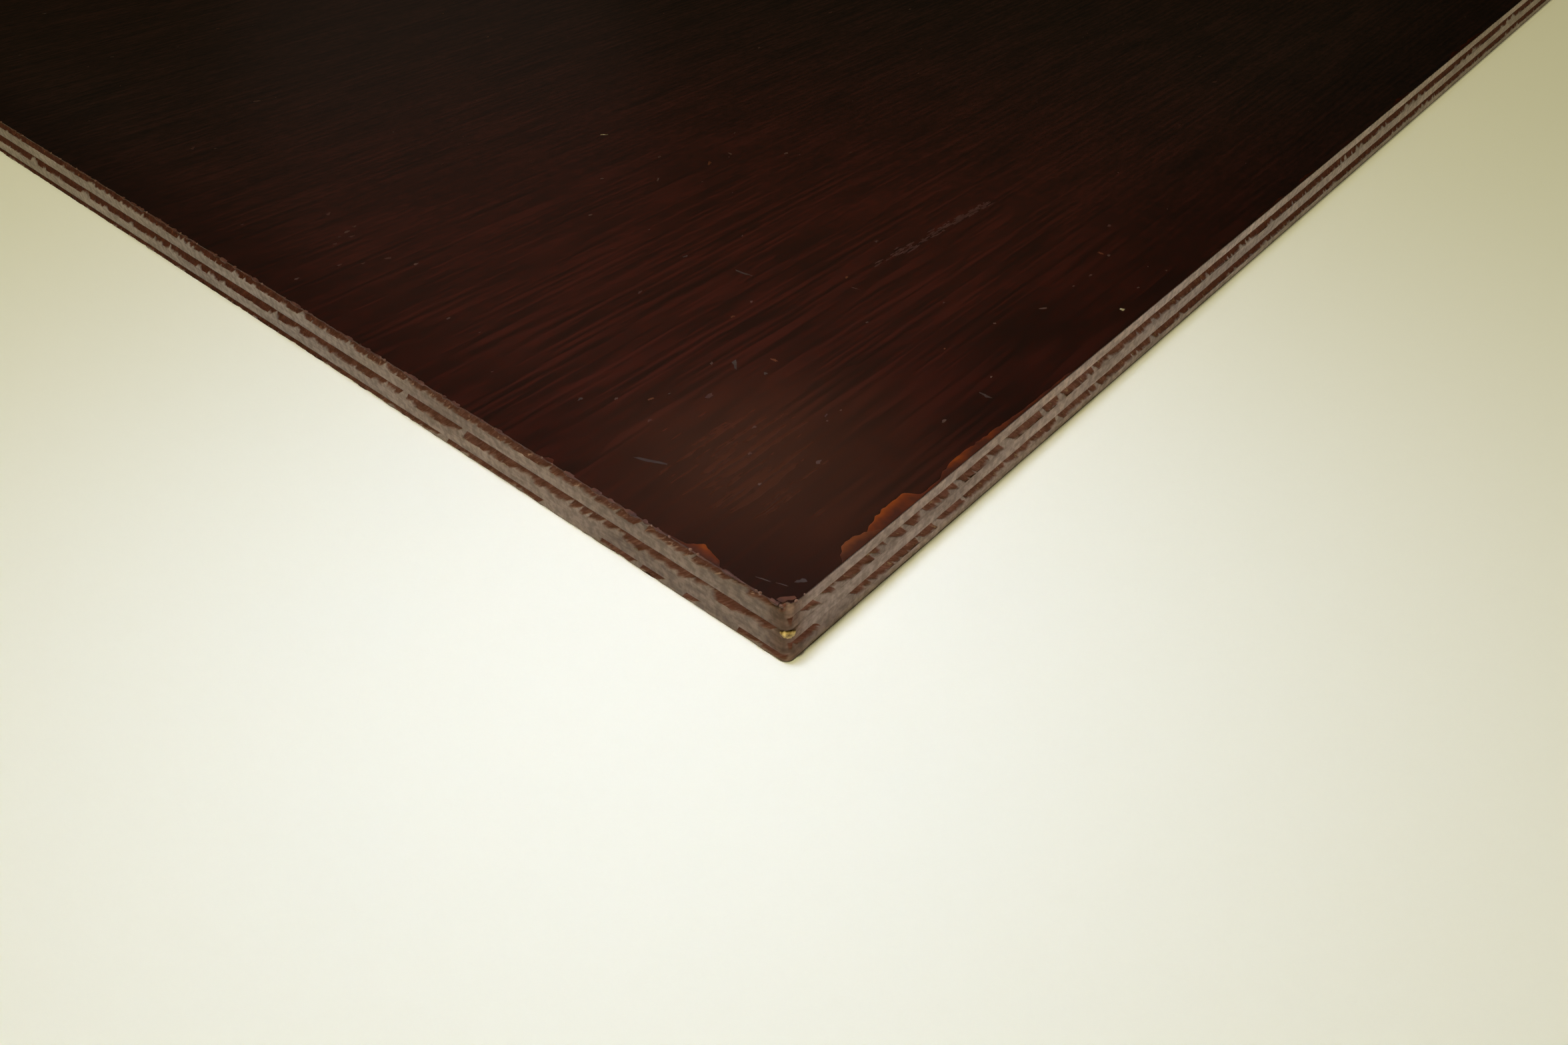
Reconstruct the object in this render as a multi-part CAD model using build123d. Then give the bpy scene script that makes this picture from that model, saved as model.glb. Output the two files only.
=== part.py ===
from build123d import *
import os
from typing import NamedTuple

# Five-ply, film-faced plywood sheet, lying flat. Millimetres.
# X runs along the sheet's length and Y across its width. Z is up, with zero at the underside.
# The origin is the middle of the underside.

# Trade size of the sheet
SHEET_LENGTH = 2440.0
SHEET_WIDTH = 1220.0

# Thickness of the phenolic film on each face
FILM = 0.15

# Thickness of the plies, from the underside up
BACK_VENEER = 1.15
CROSSBAND_LOWER = 1.85
CORE_VENEER = 2.05
CROSSBAND_UPPER = 1.95
FACE_VENEER = 1.70

# Upright corners of the sheet, worn round by handling and by the sealer
CORNER_RADIUS = 1.1

# Splinter missing from the core ply at one corner: its reach along the long edge and the short edge
CHIP_ALONG_LENGTH = 2.6
CHIP_ALONG_WIDTH = 1.5


class Layer(NamedTuple):
    """One layer of the lay-up: its node's name, its thickness, and whether it carries the chip."""

    name: str
    thickness: float
    chipped: bool = False


# The lay-up from the underside up. The grain of each ply runs square to that of its neighbours.
LAY_UP = (
    Layer("film_bottom", FILM),
    Layer("back_veneer", BACK_VENEER),
    Layer("crossband_lower", CROSSBAND_LOWER),
    Layer("core_veneer", CORE_VENEER, chipped=True),
    Layer("crossband_upper", CROSSBAND_UPPER),
    Layer("face_veneer", FACE_VENEER),
    Layer("film_top", FILM),
)


def sheet_outline():
    """Outline of the trimmed sheet, which every layer shares."""
    return RectangleRounded(SHEET_LENGTH, SHEET_WIDTH, CORNER_RADIUS)


def chip_outline():
    """Corner triangle that the splinter took with it, drawn past the sheet's edges."""
    corner_x = -SHEET_LENGTH / 2
    corner_y = -SHEET_WIDTH / 2
    # The break line runs on past both edges by as much again, so that the cut leaves no sliver
    return Polygon(
        (corner_x + 2 * CHIP_ALONG_LENGTH, corner_y - CHIP_ALONG_WIDTH),
        (corner_x - CHIP_ALONG_LENGTH, corner_y + 2 * CHIP_ALONG_WIDTH),
        (corner_x - CHIP_ALONG_LENGTH, corner_y - CHIP_ALONG_WIDTH),
        align=None,
    )


def layer_solid(layer, underside):
    """Solid of one layer, lying on the layer below at the height underside."""
    outline = sheet_outline()
    if layer.chipped:
        outline = outline - chip_outline()
    solid = extrude(Plane.XY.offset(underside) * outline, layer.thickness).solid()
    solid.label = layer.name
    return solid


def main():
    """Lay up the sheet from its underside and write one file for each layer."""
    os.makedirs("parts", exist_ok=True)
    height = 0.0
    for layer in LAY_UP:
        solid = layer_solid(layer, height)
        export_step(solid, f"parts/{layer.name}.step")
        height += layer.thickness
    print(f"sheet {SHEET_LENGTH:g} x {SHEET_WIDTH:g} x {height:g} mm, {len(LAY_UP)} layers")


if __name__ == "__main__":
    main()
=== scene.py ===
"""Looks of a film-faced plywood sheet that lies flat, seen from close above one of its corners.

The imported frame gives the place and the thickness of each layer. This script dresses every layer with
the relief of its sawn edge, adds the paint that lapped over the arrises, and sets the camera and light.
"""

import logging
import math
from dataclasses import dataclass, field
from enum import Enum

import bpy
import numpy as np
from mathutils import Matrix, Vector

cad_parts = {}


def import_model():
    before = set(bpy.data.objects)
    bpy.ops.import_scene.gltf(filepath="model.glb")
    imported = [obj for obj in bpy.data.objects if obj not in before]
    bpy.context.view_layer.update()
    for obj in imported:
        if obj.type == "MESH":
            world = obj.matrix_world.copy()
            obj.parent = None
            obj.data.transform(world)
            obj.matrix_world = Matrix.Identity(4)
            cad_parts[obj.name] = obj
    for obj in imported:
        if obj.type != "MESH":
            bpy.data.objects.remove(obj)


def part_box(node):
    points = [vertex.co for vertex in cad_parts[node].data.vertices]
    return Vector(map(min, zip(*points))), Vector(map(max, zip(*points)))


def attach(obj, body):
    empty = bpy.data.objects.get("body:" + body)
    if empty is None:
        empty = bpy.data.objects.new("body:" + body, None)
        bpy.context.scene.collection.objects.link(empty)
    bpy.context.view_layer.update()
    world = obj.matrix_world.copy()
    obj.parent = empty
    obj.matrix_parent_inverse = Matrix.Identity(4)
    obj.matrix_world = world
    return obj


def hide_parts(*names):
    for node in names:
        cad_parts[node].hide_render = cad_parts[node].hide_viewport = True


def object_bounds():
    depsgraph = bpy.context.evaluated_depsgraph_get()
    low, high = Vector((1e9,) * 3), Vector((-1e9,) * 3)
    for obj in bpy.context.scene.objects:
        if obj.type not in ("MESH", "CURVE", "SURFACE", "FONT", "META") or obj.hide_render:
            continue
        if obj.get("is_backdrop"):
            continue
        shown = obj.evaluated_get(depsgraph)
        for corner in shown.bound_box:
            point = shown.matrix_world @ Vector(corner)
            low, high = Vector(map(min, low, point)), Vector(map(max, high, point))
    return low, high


LOG = logging.getLogger("plywood_sheet")

# One millimetre in metres, the unit of the frame
MM = 0.001

# How often light is followed on from one surface to the next
LIGHT_BOUNCES = 4

# The row has no joints, so every piece rides on its one body
BODY = "root"

# Name of the mesh attribute that tells soaked end grain, above zero, from a closed coat of sealer
SOAK_FIELD = "soak_field"

# Name of the mesh attribute that gives how thick a lap of sealer lies, from 0 at its arris to 1 at its rim
RIM_FIELD = "rim_field"

# Length of the line that each noise of the edge's relief covers, in metres
NOISE_REACH = 20.0

# Spare length between the traces of two edges, so that no edge repeats another
TRACE_GAP = 3.0

# Slant of the lathe checks in the veneer: metres along the edge for each metre of height
CHECK_SLANT = 1.1

# How far each ply's edge pattern is shifted from that of the ply before, in metres
PHASE_STEP = 0.7

# A full turn, in radians
FULL_TURN = 2.0 * math.pi

# A linear colour as red, green and blue
Colour = tuple[float, float, float]

# Colours with their places on a ramp, from 0 to 1
Ramp = tuple[tuple[float, Colour], ...]

# Numbers along X, Y and Z
Triple = tuple[float, float, float]

# The two ends of a range
Span = tuple[float, float]

# Faces of a mesh, as indices of its points
Faces = list[tuple[int, ...]]

# One input or output of a node
Socket = bpy.types.NodeSocket


class Grain(Enum):
    """Which way the fibres of a ply run."""

    LENGTHWISE = "lengthwise"
    CROSSWISE = "crosswise"


class Side(Enum):
    """The four sawn edges, numbered in the order in which the outline passes them."""

    LONG_NEAR = 0
    SHORT_FAR = 1
    LONG_FAR = 2
    SHORT_NEAR = 3

    def is_short(self) -> bool:
        """Tell whether this is one of the two short edges."""
        return self in (Side.SHORT_FAR, Side.SHORT_NEAR)

    def is_near(self) -> bool:
        """Tell whether this edge meets the photographed corner."""
        return self in (Side.LONG_NEAR, Side.SHORT_NEAR)


class MixSocket(Enum):
    """Numbers of the sockets with which a mix node mixes two colours."""

    SHARE = 0
    FIRST = 6
    SECOND = 7
    RESULT = 2


def ease(value: np.ndarray, low: float, high: float) -> np.ndarray:
    """Rise smoothly from 0 at low to 1 at high.

    Args:
        value: Numbers to ease.
        low: Where the rise starts.
        high: Where the rise ends.

    Returns:
        Numbers from 0 to 1, in the shape of value.
    """
    share = np.clip((value - low) / (high - low), 0.0, 1.0)
    return share * share * (3.0 - 2.0 * share)


class Lattice:
    """Smooth noise along one line, the same on each run."""

    # Values before the start of the line, and values more than the line's length needs
    LEAD = 2
    SPARE = 8

    def __init__(self, seed: int, cell: float) -> None:
        """Draw the noise's values, which the seed picks, one for each cell of so many metres."""
        self.cell = cell
        self.values = np.random.default_rng(seed).random(int(NOISE_REACH / cell) + self.SPARE)

    def at(self, place: np.ndarray) -> np.ndarray:
        """Read the noise.

        Args:
            place: Distances along the line, in metres.

        Returns:
            Numbers from 0 to 1, in the shape of place.
        """
        cells = np.clip(place / self.cell + self.LEAD, 0.0, len(self.values) - 2.0)
        index = cells.astype(int)
        share = ease(cells - index, 0.0, 1.0)
        return self.values[index] * (1.0 - share) + self.values[index + 1] * share


@dataclass(frozen=True)
class Columns:
    """The points of the sheet's outline, anticlockwise from the photographed corner."""

    point: np.ndarray
    outward: np.ndarray
    # Distance along the edge, on a line that the noises read, with a stretch of its own for each edge
    trace: np.ndarray
    on_short: np.ndarray
    corner_gap: np.ndarray
    # Number of the side plus the share of it that is walked
    station: np.ndarray

    def count(self) -> int:
        """Give the number of points."""
        return len(self.trace)


@dataclass
class SheetOutline:
    """Outline of the trimmed sheet, with its points closest together at the photographed corner."""

    length: float
    width: float
    corner_radius: float = 1.1 * MM
    fine_step: float = 0.2 * MM
    coarse_step: float = 2.0 * MM
    fine_reach: float = 0.1
    # Growth from one step to the next beyond the fine reach
    growth: float = 1.002
    arc_steps: int = 10
    # How far an edge's normal points along the sheet, for a long edge and for a short one
    short_facing: Span = (0.3, 0.95)
    # Distances in from the outline of the coarser rings that carry the flat faces, and their steps
    inner_rings: tuple[tuple[float, float], ...] = ((0.012, 0.012), (0.100, 0.100))

    def corner(self) -> Vector:
        """Give the photographed corner, where the two near edges would meet if it weren't rounded."""
        return Vector((-self.length / 2, -self.width / 2, 0.0))

    def graded(self, length: float, from_near: bool, to_near: bool) -> np.ndarray:
        """Space the points of one straight edge.

        Args:
            length: Length of the straight, in metres.
            from_near: Whether the straight starts at the photographed corner.
            to_near: Whether it ends there.

        Returns:
            Distances from the start of the straight, from 0 to length.
        """
        places = [0.0]
        step = self.fine_step if from_near or to_near else self.coarse_step
        while places[-1] < length:
            places.append(places[-1] + step)
            if places[-1] > self.fine_reach:
                step = min(self.coarse_step, step * self.growth)
        spaced = np.array(places) * length / places[-1]
        return length - spaced[::-1] if to_near else spaced

    def inner_ring(self, inset: float, step: float) -> tuple[np.ndarray, np.ndarray]:
        """Space points round a rectangle inside the outline.

        Args:
            inset: Distance in from the outline.
            step: Distance from one point to the next, in metres.

        Returns:
            The points as X and Y, and their stations.
        """
        size = np.array([self.length, self.width]) - 2 * inset
        corners = np.array([(-0.5, -0.5), (0.5, -0.5), (0.5, 0.5), (-0.5, 0.5)]) * size
        points, stations = [], []
        for side in Side:
            start, end = corners[side.value], corners[(side.value + 1) % len(Side)]
            count = max(1, round(float(np.abs(end - start).sum()) / step))
            share = np.arange(count) / count
            points.append(start + (end - start) * share[:, None])
            stations.append(side.value + share)
        return np.vstack(points), np.concatenate(stations)

    def columns(self) -> Columns:
        """Walk round the outline.

        Returns:
            The outline's points with what the edge's pattern needs to know of each.
        """
        half = np.array([self.length / 2, self.width / 2])
        radius = self.corner_radius
        starts = {
            Side.LONG_NEAR: (-half[0] + radius, -half[1]),
            Side.SHORT_FAR: (half[0], -half[1] + radius),
            Side.LONG_FAR: (half[0] - radius, half[1]),
            Side.SHORT_NEAR: (-half[0], half[1] - radius),
        }
        points, normals, traces, shorts, gaps, stations = [], [], [], [], [], []
        for side, start in starts.items():
            turn = side.value * math.pi / 2
            ahead = np.array([math.cos(turn), math.sin(turn)])
            out = np.array([ahead[1], -ahead[0]])
            straight = (self.width if side.is_short() else self.length) - 2 * radius
            run = self.graded(straight, side is Side.LONG_NEAR, side is Side.SHORT_NEAR)
            centre = np.array(start) + ahead * straight - out * radius
            angles = np.linspace(0.0, math.pi / 2, self.arc_steps + 1)[1:-1]
            arc_out = np.cos(angles)[:, None] * out + np.sin(angles)[:, None] * ahead
            point = np.vstack([np.array(start) + run[:, None] * ahead, centre + arc_out * radius])
            normal = np.vstack([np.repeat(out[None], len(run), axis=0), arc_out])
            axis = 1 if side.is_short() else 0
            along = point[:, axis] + half[axis]
            points.append(point)
            normals.append(normal)
            traces.append(along + side.value * TRACE_GAP)
            shorts.append(ease(np.abs(normal[:, 0]), *self.short_facing))
            gaps.append(np.minimum(along, 2 * half[axis] - along))
            walked = along / (2 * half[axis])
            stations.append(side.value + (walked if side.value < 2 else 1.0 - walked))
        flat = [np.concatenate(values) for values in (traces, shorts, gaps, stations)]
        return Columns(np.vstack(points), np.vstack(normals), *flat)


@dataclass(frozen=True)
class Cloud:
    """A noise in a finish: its cells in each metre along X, Y and Z, and how many finer layers it has."""

    per_metre: Triple
    detail: float = 2.0
    # Strength of the finer layers
    roughness: float = 0.5


class Sketch:
    """Short hand for wiring the nodes of one material or world."""

    def __init__(self, tree: bpy.types.NodeTree) -> None:
        """Start from an empty tree."""
        self.tree = tree
        self.tree.nodes.clear()

    def add(self, kind: str, inputs: dict | None = None, **settings: object) -> bpy.types.Node:
        """Add one node.

        Args:
            kind: Blender's name of the node's type.
            inputs: Values or sockets for its inputs, by name or number.
            settings: Properties of the node itself.

        Returns:
            The new node.
        """
        node = self.tree.nodes.new(kind)
        for name, value in settings.items():
            setattr(node, name, value)
        for key, value in (inputs or {}).items():
            self.feed(node, key, value)
        return node

    def feed(self, node: bpy.types.Node, key: str | int, value: object) -> None:
        """Set or link one input of a node.

        Args:
            node: Node to feed.
            key: Name or number of the input.
            value: Plain value, or an output socket.
        """
        socket = node.inputs[key]
        if isinstance(value, Socket):
            self.tree.links.new(value, socket)
        else:
            socket.default_value = value

    def place(self) -> Socket:
        """Give the place on the sheet, in metres of the frame."""
        return self.add("ShaderNodeTexCoord").outputs["Object"]

    def stored(self, name: str) -> Socket:
        """Read a number that is stored with the points of the mesh."""
        return self.add("ShaderNodeAttribute", attribute_name=name).outputs["Fac"]

    def axes(self, vector: Socket) -> bpy.types.NodeOutputs:
        """Split a vector into its X, Y and Z."""
        return self.add("ShaderNodeSeparateXYZ", {0: vector}).outputs

    def distance(self, place: Socket, point: Vector) -> Socket:
        """Measure how far a place is from a point, in metres."""
        node = self.add("ShaderNodeVectorMath", {0: place, 1: tuple(point)}, operation="DISTANCE")
        return node.outputs["Value"]

    def math(self, operation: str, *values: object) -> Socket:
        """Do one sum, such as MULTIPLY, with numbers or sockets."""
        return self.add("ShaderNodeMath", dict(enumerate(values)), operation=operation).outputs[0]

    def weighed(self, first: Socket, first_share: float, second: Socket, second_share: float) -> Socket:
        """Add two numbers, each times its own share."""
        return self.math("MULTIPLY_ADD", first, first_share, self.math("MULTIPLY", second, second_share))

    def swing(self, noise: Socket, strength: object) -> Socket:
        """Turn a noise into a number that swings about 0."""
        return self.math("MULTIPLY", self.math("SUBTRACT", noise, 0.5), strength)

    def noise(self, vector: Socket, cloud: Cloud) -> Socket:
        """Read a noise that is stretched along the axes.

        Args:
            vector: Place in metres.
            cloud: Settings of the noise.

        Returns:
            Number from 0 to 1, mostly near 0.5.
        """
        stretched = self.add("ShaderNodeMapping", {"Vector": vector, "Scale": cloud.per_metre}).outputs[0]
        inputs = {"Vector": stretched, "Scale": 1.0, "Detail": cloud.detail, "Roughness": cloud.roughness}
        return self.add("ShaderNodeTexNoise", inputs, noise_dimensions="3D").outputs[0]

    def rise(self, value: object, low: float, high: float, start: float = 0.0, end: float = 1.0) -> Socket:
        """Map a number smoothly from start, at low and below, to end, at high and above."""
        inputs = {"Value": value, "From Min": low, "From Max": high, "To Min": start, "To Max": end}
        return self.add("ShaderNodeMapRange", inputs, interpolation_type="SMOOTHSTEP").outputs[0]

    def ramp(self, value: object, stops: Ramp) -> Socket:
        """Turn a number into a colour.

        Args:
            value: Number or socket from 0 to 1.
            stops: Places from 0 to 1 with their linear colours.

        Returns:
            The colour.
        """
        node = self.add("ShaderNodeValToRGB", {"Fac": value})
        elements = node.color_ramp.elements
        while len(elements) < len(stops):
            elements.new(1.0)
        for element, (place, colour) in zip(elements, stops):
            element.position = place
            element.color = (*colour, 1.0)
        return node.outputs["Color"]

    def mix(self, share: object, first: Socket, second: Socket | Colour, blend: str = "MIX") -> Socket:
        """Mix two colours.

        Args:
            share: Share of the second colour, from 0 to 1.
            first: Colour to start from.
            second: Colour to mix in.
            blend: How they are mixed.

        Returns:
            The mixed colour.
        """
        other = (*second, 1.0) if isinstance(second, tuple) else second
        inputs = {MixSocket.SHARE.value: share, MixSocket.FIRST.value: first, MixSocket.SECOND.value: other}
        node = self.add("ShaderNodeMix", inputs, data_type="RGBA", blend_type=blend)
        return node.outputs[MixSocket.RESULT.value]

    def scale(self, colour: Socket, factor: object) -> Socket:
        """Make a colour brighter or darker by a factor."""
        return self.add("ShaderNodeVectorMath", {0: colour, "Scale": factor}, operation="SCALE").outputs[0]

    def bump(self, height: Socket, depth: float) -> Socket:
        """Turn a height from 0 to 1 into a bumpy normal, where 1 stands depth metres high."""
        return self.add("ShaderNodeBump", {"Height": height, "Distance": depth}).outputs[0]


def new_material(name: str, settings: dict) -> tuple[bpy.types.Material, Sketch, bpy.types.Node]:
    """Start a material with one principled shader.

    Args:
        name: Name of the material.
        settings: Values that are the same all over the surface, by socket name.

    Returns:
        The material, the sketch of its tree and its shader node.
    """
    material = bpy.data.materials.new(name)
    material.use_nodes = True
    sketch = Sketch(material.node_tree)
    shader = sketch.add("ShaderNodeBsdfPrincipled", settings)
    sketch.add("ShaderNodeOutputMaterial", {"Surface": shader.outputs[0]})
    return material, sketch, shader


@dataclass(frozen=True)
class FilmFinish:
    """Dark brown phenolic film, with the grain of the veneer telegraphing through as fine streaks."""

    name: str = "phenolic_film"
    roughness: float = 0.26
    # Dark, middle and light tones: by the corner, a hand's width from it, and farther off. The film is
    # painted brighter and redder towards the corner as a pool of light, and greyer farther off, in part a
    # painted sheen
    corner_tones: tuple[Colour, ...] = (
        (0.0430, 0.0170, 0.0108), (0.0525, 0.0190, 0.0116), (0.0615, 0.0215, 0.0124),
    )
    near_tones: tuple[Colour, ...] = (
        (0.0168, 0.0067, 0.0047), (0.0268, 0.0078, 0.0053), (0.0425, 0.0098, 0.0066),
    )
    far_tones: tuple[Colour, ...] = (
        (0.0125, 0.0086, 0.0082), (0.0182, 0.0106, 0.0094), (0.0270, 0.0130, 0.0115),
    )
    tone_stops: Triple = (0.39, 0.50, 0.61)
    # Centre of the painted pool of light, from the photographed corner, and how far it reaches, in metres
    lit_spot_centre: Triple = (0.015, 0.015, 0.0)
    lit_spot_reach: Span = (0.0, 0.035)
    near_reach: Span = (0.05, 0.20)
    # The film is darker beside the trimmed edges: brightness at the edge, and how far in the shade reaches
    long_shade: tuple[float, float] = (0.66, 0.032)
    short_shade: tuple[float, float] = (0.74, 0.016)
    # The grain: long streaks, short pores and wide patches, with how much each counts
    streaks: Cloud = Cloud((42.0, 1200.0, 1.0))
    pores: Cloud = Cloud((450.0, 1300.0, 1.0), 1.0)
    patches: Cloud = Cloud((60.0, 170.0, 1.0), 2.0, 0.55)
    pore_share: float = 0.28
    patch_share: float = 0.22
    # Added to those two, so that an average place has a tone of 0.5
    tone_lift: float = 0.25
    # The streaks count most by the centre of the painted pool of light: their share there and farther off,
    # and where it falls
    streak_shares: Span = (0.72, 0.40)
    streak_reach: Span = (0.03, 0.12)
    relief: float = 0.006 * MM

    def build(self, corner: Vector) -> bpy.types.Material:
        """Make the material.

        Args:
            corner: The photographed corner.

        Returns:
            The film's material.
        """
        material, sketch, shader = new_material(self.name, {"IOR": 1.5, "Roughness": self.roughness})
        place = sketch.place()
        gap = sketch.distance(place, corner + Vector(self.lit_spot_centre))
        tone, streak = self.grain(sketch, place, gap)
        corner_side, near_side, far_side = (
            sketch.ramp(tone, tuple(zip(self.tone_stops, tones)))
            for tones in (self.corner_tones, self.near_tones, self.far_tones)
        )
        # Painted light: the film is brightest towards the pool's centre and falls off away from it
        base = sketch.mix(sketch.rise(gap, *self.lit_spot_reach), corner_side, near_side)
        base = sketch.mix(sketch.rise(gap, *self.near_reach), base, far_side)
        axes = sketch.axes(place)
        shades = ((0, -corner.x, self.short_shade), (1, -corner.y, self.long_shade))
        for axis, half, (level, reach) in shades:
            inward = sketch.math("SUBTRACT", half, sketch.math("ABSOLUTE", axes[axis]))
            base = sketch.scale(base, sketch.rise(inward, 0.0, reach, level))
        sketch.feed(shader, "Base Color", base)
        sketch.feed(shader, "Normal", sketch.bump(streak, self.relief))
        return material

    def grain(self, sketch: Sketch, place: Socket, gap: Socket) -> tuple[Socket, Socket]:
        """Work out how light the film is at each place.

        Args:
            sketch: Tree to add to.
            place: Place on the sheet.
            gap: Distance from the centre of the painted pool of light.

        Returns:
            The tone, about 0.5, and the streaks alone.
        """
        streak = sketch.noise(place, self.streaks)
        pore = sketch.noise(place, self.pores)
        patch = sketch.noise(place, self.patches)
        even = sketch.weighed(patch, self.patch_share, pore, self.pore_share)
        lines = sketch.swing(streak, sketch.rise(gap, *self.streak_reach, *self.streak_shares))
        return sketch.math("ADD", sketch.math("ADD", even, self.tone_lift), lines), streak


@dataclass(frozen=True)
class PlyEdgeFinish:
    """Edge sealer on sawn veneer: a closed grey-brown coat where it lies, soaked dark in the end grain."""

    name: str
    # Shifts the pattern along the edge, so that no ply repeats another
    phase: float
    # Brightness of the closed coat on the long edges, raised as painted light because the lamps leave those
    # edges darker. On the short ones it is 1 for every ply
    tone: float
    # Share of the soaked end grain that stands up in pale fibres, and their colour
    glint: float
    glint_colour: Colour
    coat_colours: Ramp = ((0.34, (0.186, 0.134, 0.112)), (0.66, (0.296, 0.220, 0.186)))
    soaked_colours: Ramp = (
        (0.38, (0.086, 0.0295, 0.0165)), (0.52, (0.122, 0.0450, 0.0268)), (0.68, (0.182, 0.0800, 0.0520)),
    )
    # Brightness of the soaked end grain on the long edges, raised as painted light because the lamps
    # leave those edges darker
    long_soak: float = 1.50
    # How far an edge's normal points across the sheet, for a short edge and for a long one
    long_facing: Span = (0.4, 0.9)
    # Painted light on the coat: darker by the photographed corner, under the close lamp, and brighter
    # farther off: its brightness there and farther off, and where it changes
    painted_light_levels: Span = (0.94, 1.10)
    painted_light_reach: Span = (0.010, 0.060)
    # The coat is rubbed dark where the corner's upright takes the knocks: tint, and how far it reaches
    knock_tint: Colour = (0.62, 0.52, 0.44)
    knock_reach: Span = (0.0012, 0.0042)
    # Away from the corner the coat is painted brighter and cooler, as painted light where the close lamp
    # falls off, and the soaked grain darker: tints, and where they set in
    far_light_tint: Colour = (1.12, 1.22, 1.42)
    dark_tint: Colour = (0.64, 0.39, 0.30)
    far_tint_reach: Span = (0.055, 0.120)
    # The closed coat: strokes of the brush, wide patches and small blotches
    strokes: Cloud = Cloud((220.0, 220.0, 2600.0), 2.0, 0.6)
    patches: Cloud = Cloud((75.0, 75.0, 300.0), 1.0)
    stroke_share: float = 0.45
    patch_share: float = 0.55
    blotches: Cloud = Cloud((900.0, 900.0, 900.0), 2.0, 0.6)
    blotch_spread: Span = (0.36, 0.64)
    blotch_levels: Span = (0.78, 1.16)
    # The end grain: fibres, a wider mottle, and the pale fibres that stand up
    fibres: Cloud = Cloud((3600.0, 500.0, 1.0), 1.0)
    mottle: Cloud = Cloud((700.0, 500.0, 1.0), 1.0)
    fibre_share: float = 0.45
    mottle_share: float = 0.55
    pale_fibres: Cloud = Cloud((1500.0, 700.0, 1.0), 2.0, 0.65)
    pale_spread: Span = (0.60, 0.76)
    # The more fibres stand up, the sooner and the more strongly they show
    pale_shift: float = 0.08
    pale_gain: float = 2.0
    # How ragged the coat is where the end grain starts, and how sharply one gives way to the other
    ragged: Cloud = Cloud((1300.0, 800.0, 1.0), 2.0, 0.6)
    ragged_share: float = 0.50
    soak_spread: Span = (-0.20, 0.20)
    # Roughness of the coat and of the end grain
    roughness: Span = (0.50, 0.70)
    # The coat stands above the soaked grain: shares of the relief, and its height
    coat_relief: float = 0.6
    grain_relief: float = 0.6
    relief: float = 0.06 * MM

    def build(self, corner: Vector) -> bpy.types.Material:
        """Make the material.

        Args:
            corner: The photographed corner.

        Returns:
            The edge's material.
        """
        material, sketch, shader = new_material(self.name, {"IOR": 1.45, "Specular IOR Level": 0.04})
        place = sketch.place()
        check = self.along_check(sketch, place)
        ragged = sketch.math("SUBTRACT", sketch.noise(check, self.ragged), 0.5)
        soak = sketch.math("MULTIPLY_ADD", ragged, self.ragged_share, sketch.stored(SOAK_FIELD))
        soaked = sketch.rise(soak, *self.soak_spread)
        normal = sketch.add("ShaderNodeTexCoord").outputs["Normal"]
        facing = sketch.math("ABSOLUTE", sketch.axes(normal)[1])
        gap = sketch.distance(place, corner)
        away = sketch.rise(gap, *self.far_tint_reach)
        fibre, mottle = (sketch.noise(check, cloud) for cloud in (self.fibres, self.mottle))
        grain = sketch.weighed(fibre, self.fibre_share, mottle, self.mottle_share)
        coat = self.coat(sketch, place, facing, gap)
        coat = sketch.mix(self.knocked(sketch, place, corner), coat, self.knock_tint, "MULTIPLY")
        # Painted light: the coat is brighter and cooler away from the corner
        coat = sketch.mix(away, coat, self.far_light_tint, "MULTIPLY")
        end_grain = self.end_grain(sketch, check, grain)
        end_grain = sketch.mix(away, end_grain, self.dark_tint, "MULTIPLY")
        # Painted light: the soaked grain on the long edges is raised by long_soak
        end_grain = sketch.scale(end_grain, sketch.rise(facing, *self.long_facing, 1.0, self.long_soak))
        sketch.feed(shader, "Base Color", sketch.mix(soaked, coat, end_grain))
        sketch.feed(shader, "Roughness", sketch.rise(soaked, 0.0, 1.0, *self.roughness))
        height = sketch.weighed(soaked, -self.coat_relief, grain, self.grain_relief)
        sketch.feed(shader, "Normal", sketch.bump(height, self.relief))
        return material

    def coat(self, sketch: Sketch, place: Socket, facing: Socket, gap: Socket) -> Socket:
        """Colour the closed coat.

        Args:
            sketch: Tree to add to.
            place: Place on the sheet.
            facing: Share of the edge's normal that points across the sheet.
            gap: Distance from the photographed corner.

        Returns:
            The coat's colour.
        """
        stroke, patch = (sketch.noise(place, cloud) for cloud in (self.strokes, self.patches))
        tone = sketch.weighed(stroke, self.stroke_share, patch, self.patch_share)
        coat = sketch.ramp(tone, self.coat_colours)
        blotch = sketch.noise(place, self.blotches)
        coat = sketch.scale(coat, sketch.rise(blotch, *self.blotch_spread, *self.blotch_levels))
        # Painted light: the long edges' coat is raised by the ply's tone
        coat = sketch.scale(coat, sketch.rise(facing, *self.long_facing, 1.0, self.tone))
        # Painted light: the coat is darker by the corner and brighter farther off
        return sketch.scale(coat, sketch.rise(gap, *self.painted_light_reach, *self.painted_light_levels))

    def knocked(self, sketch: Sketch, place: Socket, corner: Vector) -> Socket:
        """Tell how near a place is to the upright at the photographed corner.

        Args:
            sketch: Tree to add to.
            place: Place on the sheet.
            corner: The photographed corner.

        Returns:
            1 by the upright and 0 beyond its reach.
        """
        flat = sketch.add("ShaderNodeVectorMath", {0: place, 1: (1.0, 1.0, 0.0)}, operation="MULTIPLY")
        beside = sketch.distance(flat.outputs[0], Vector((corner.x, corner.y, 0.0)))
        return sketch.rise(beside, *self.knock_reach, 1.0, 0.0)

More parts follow.
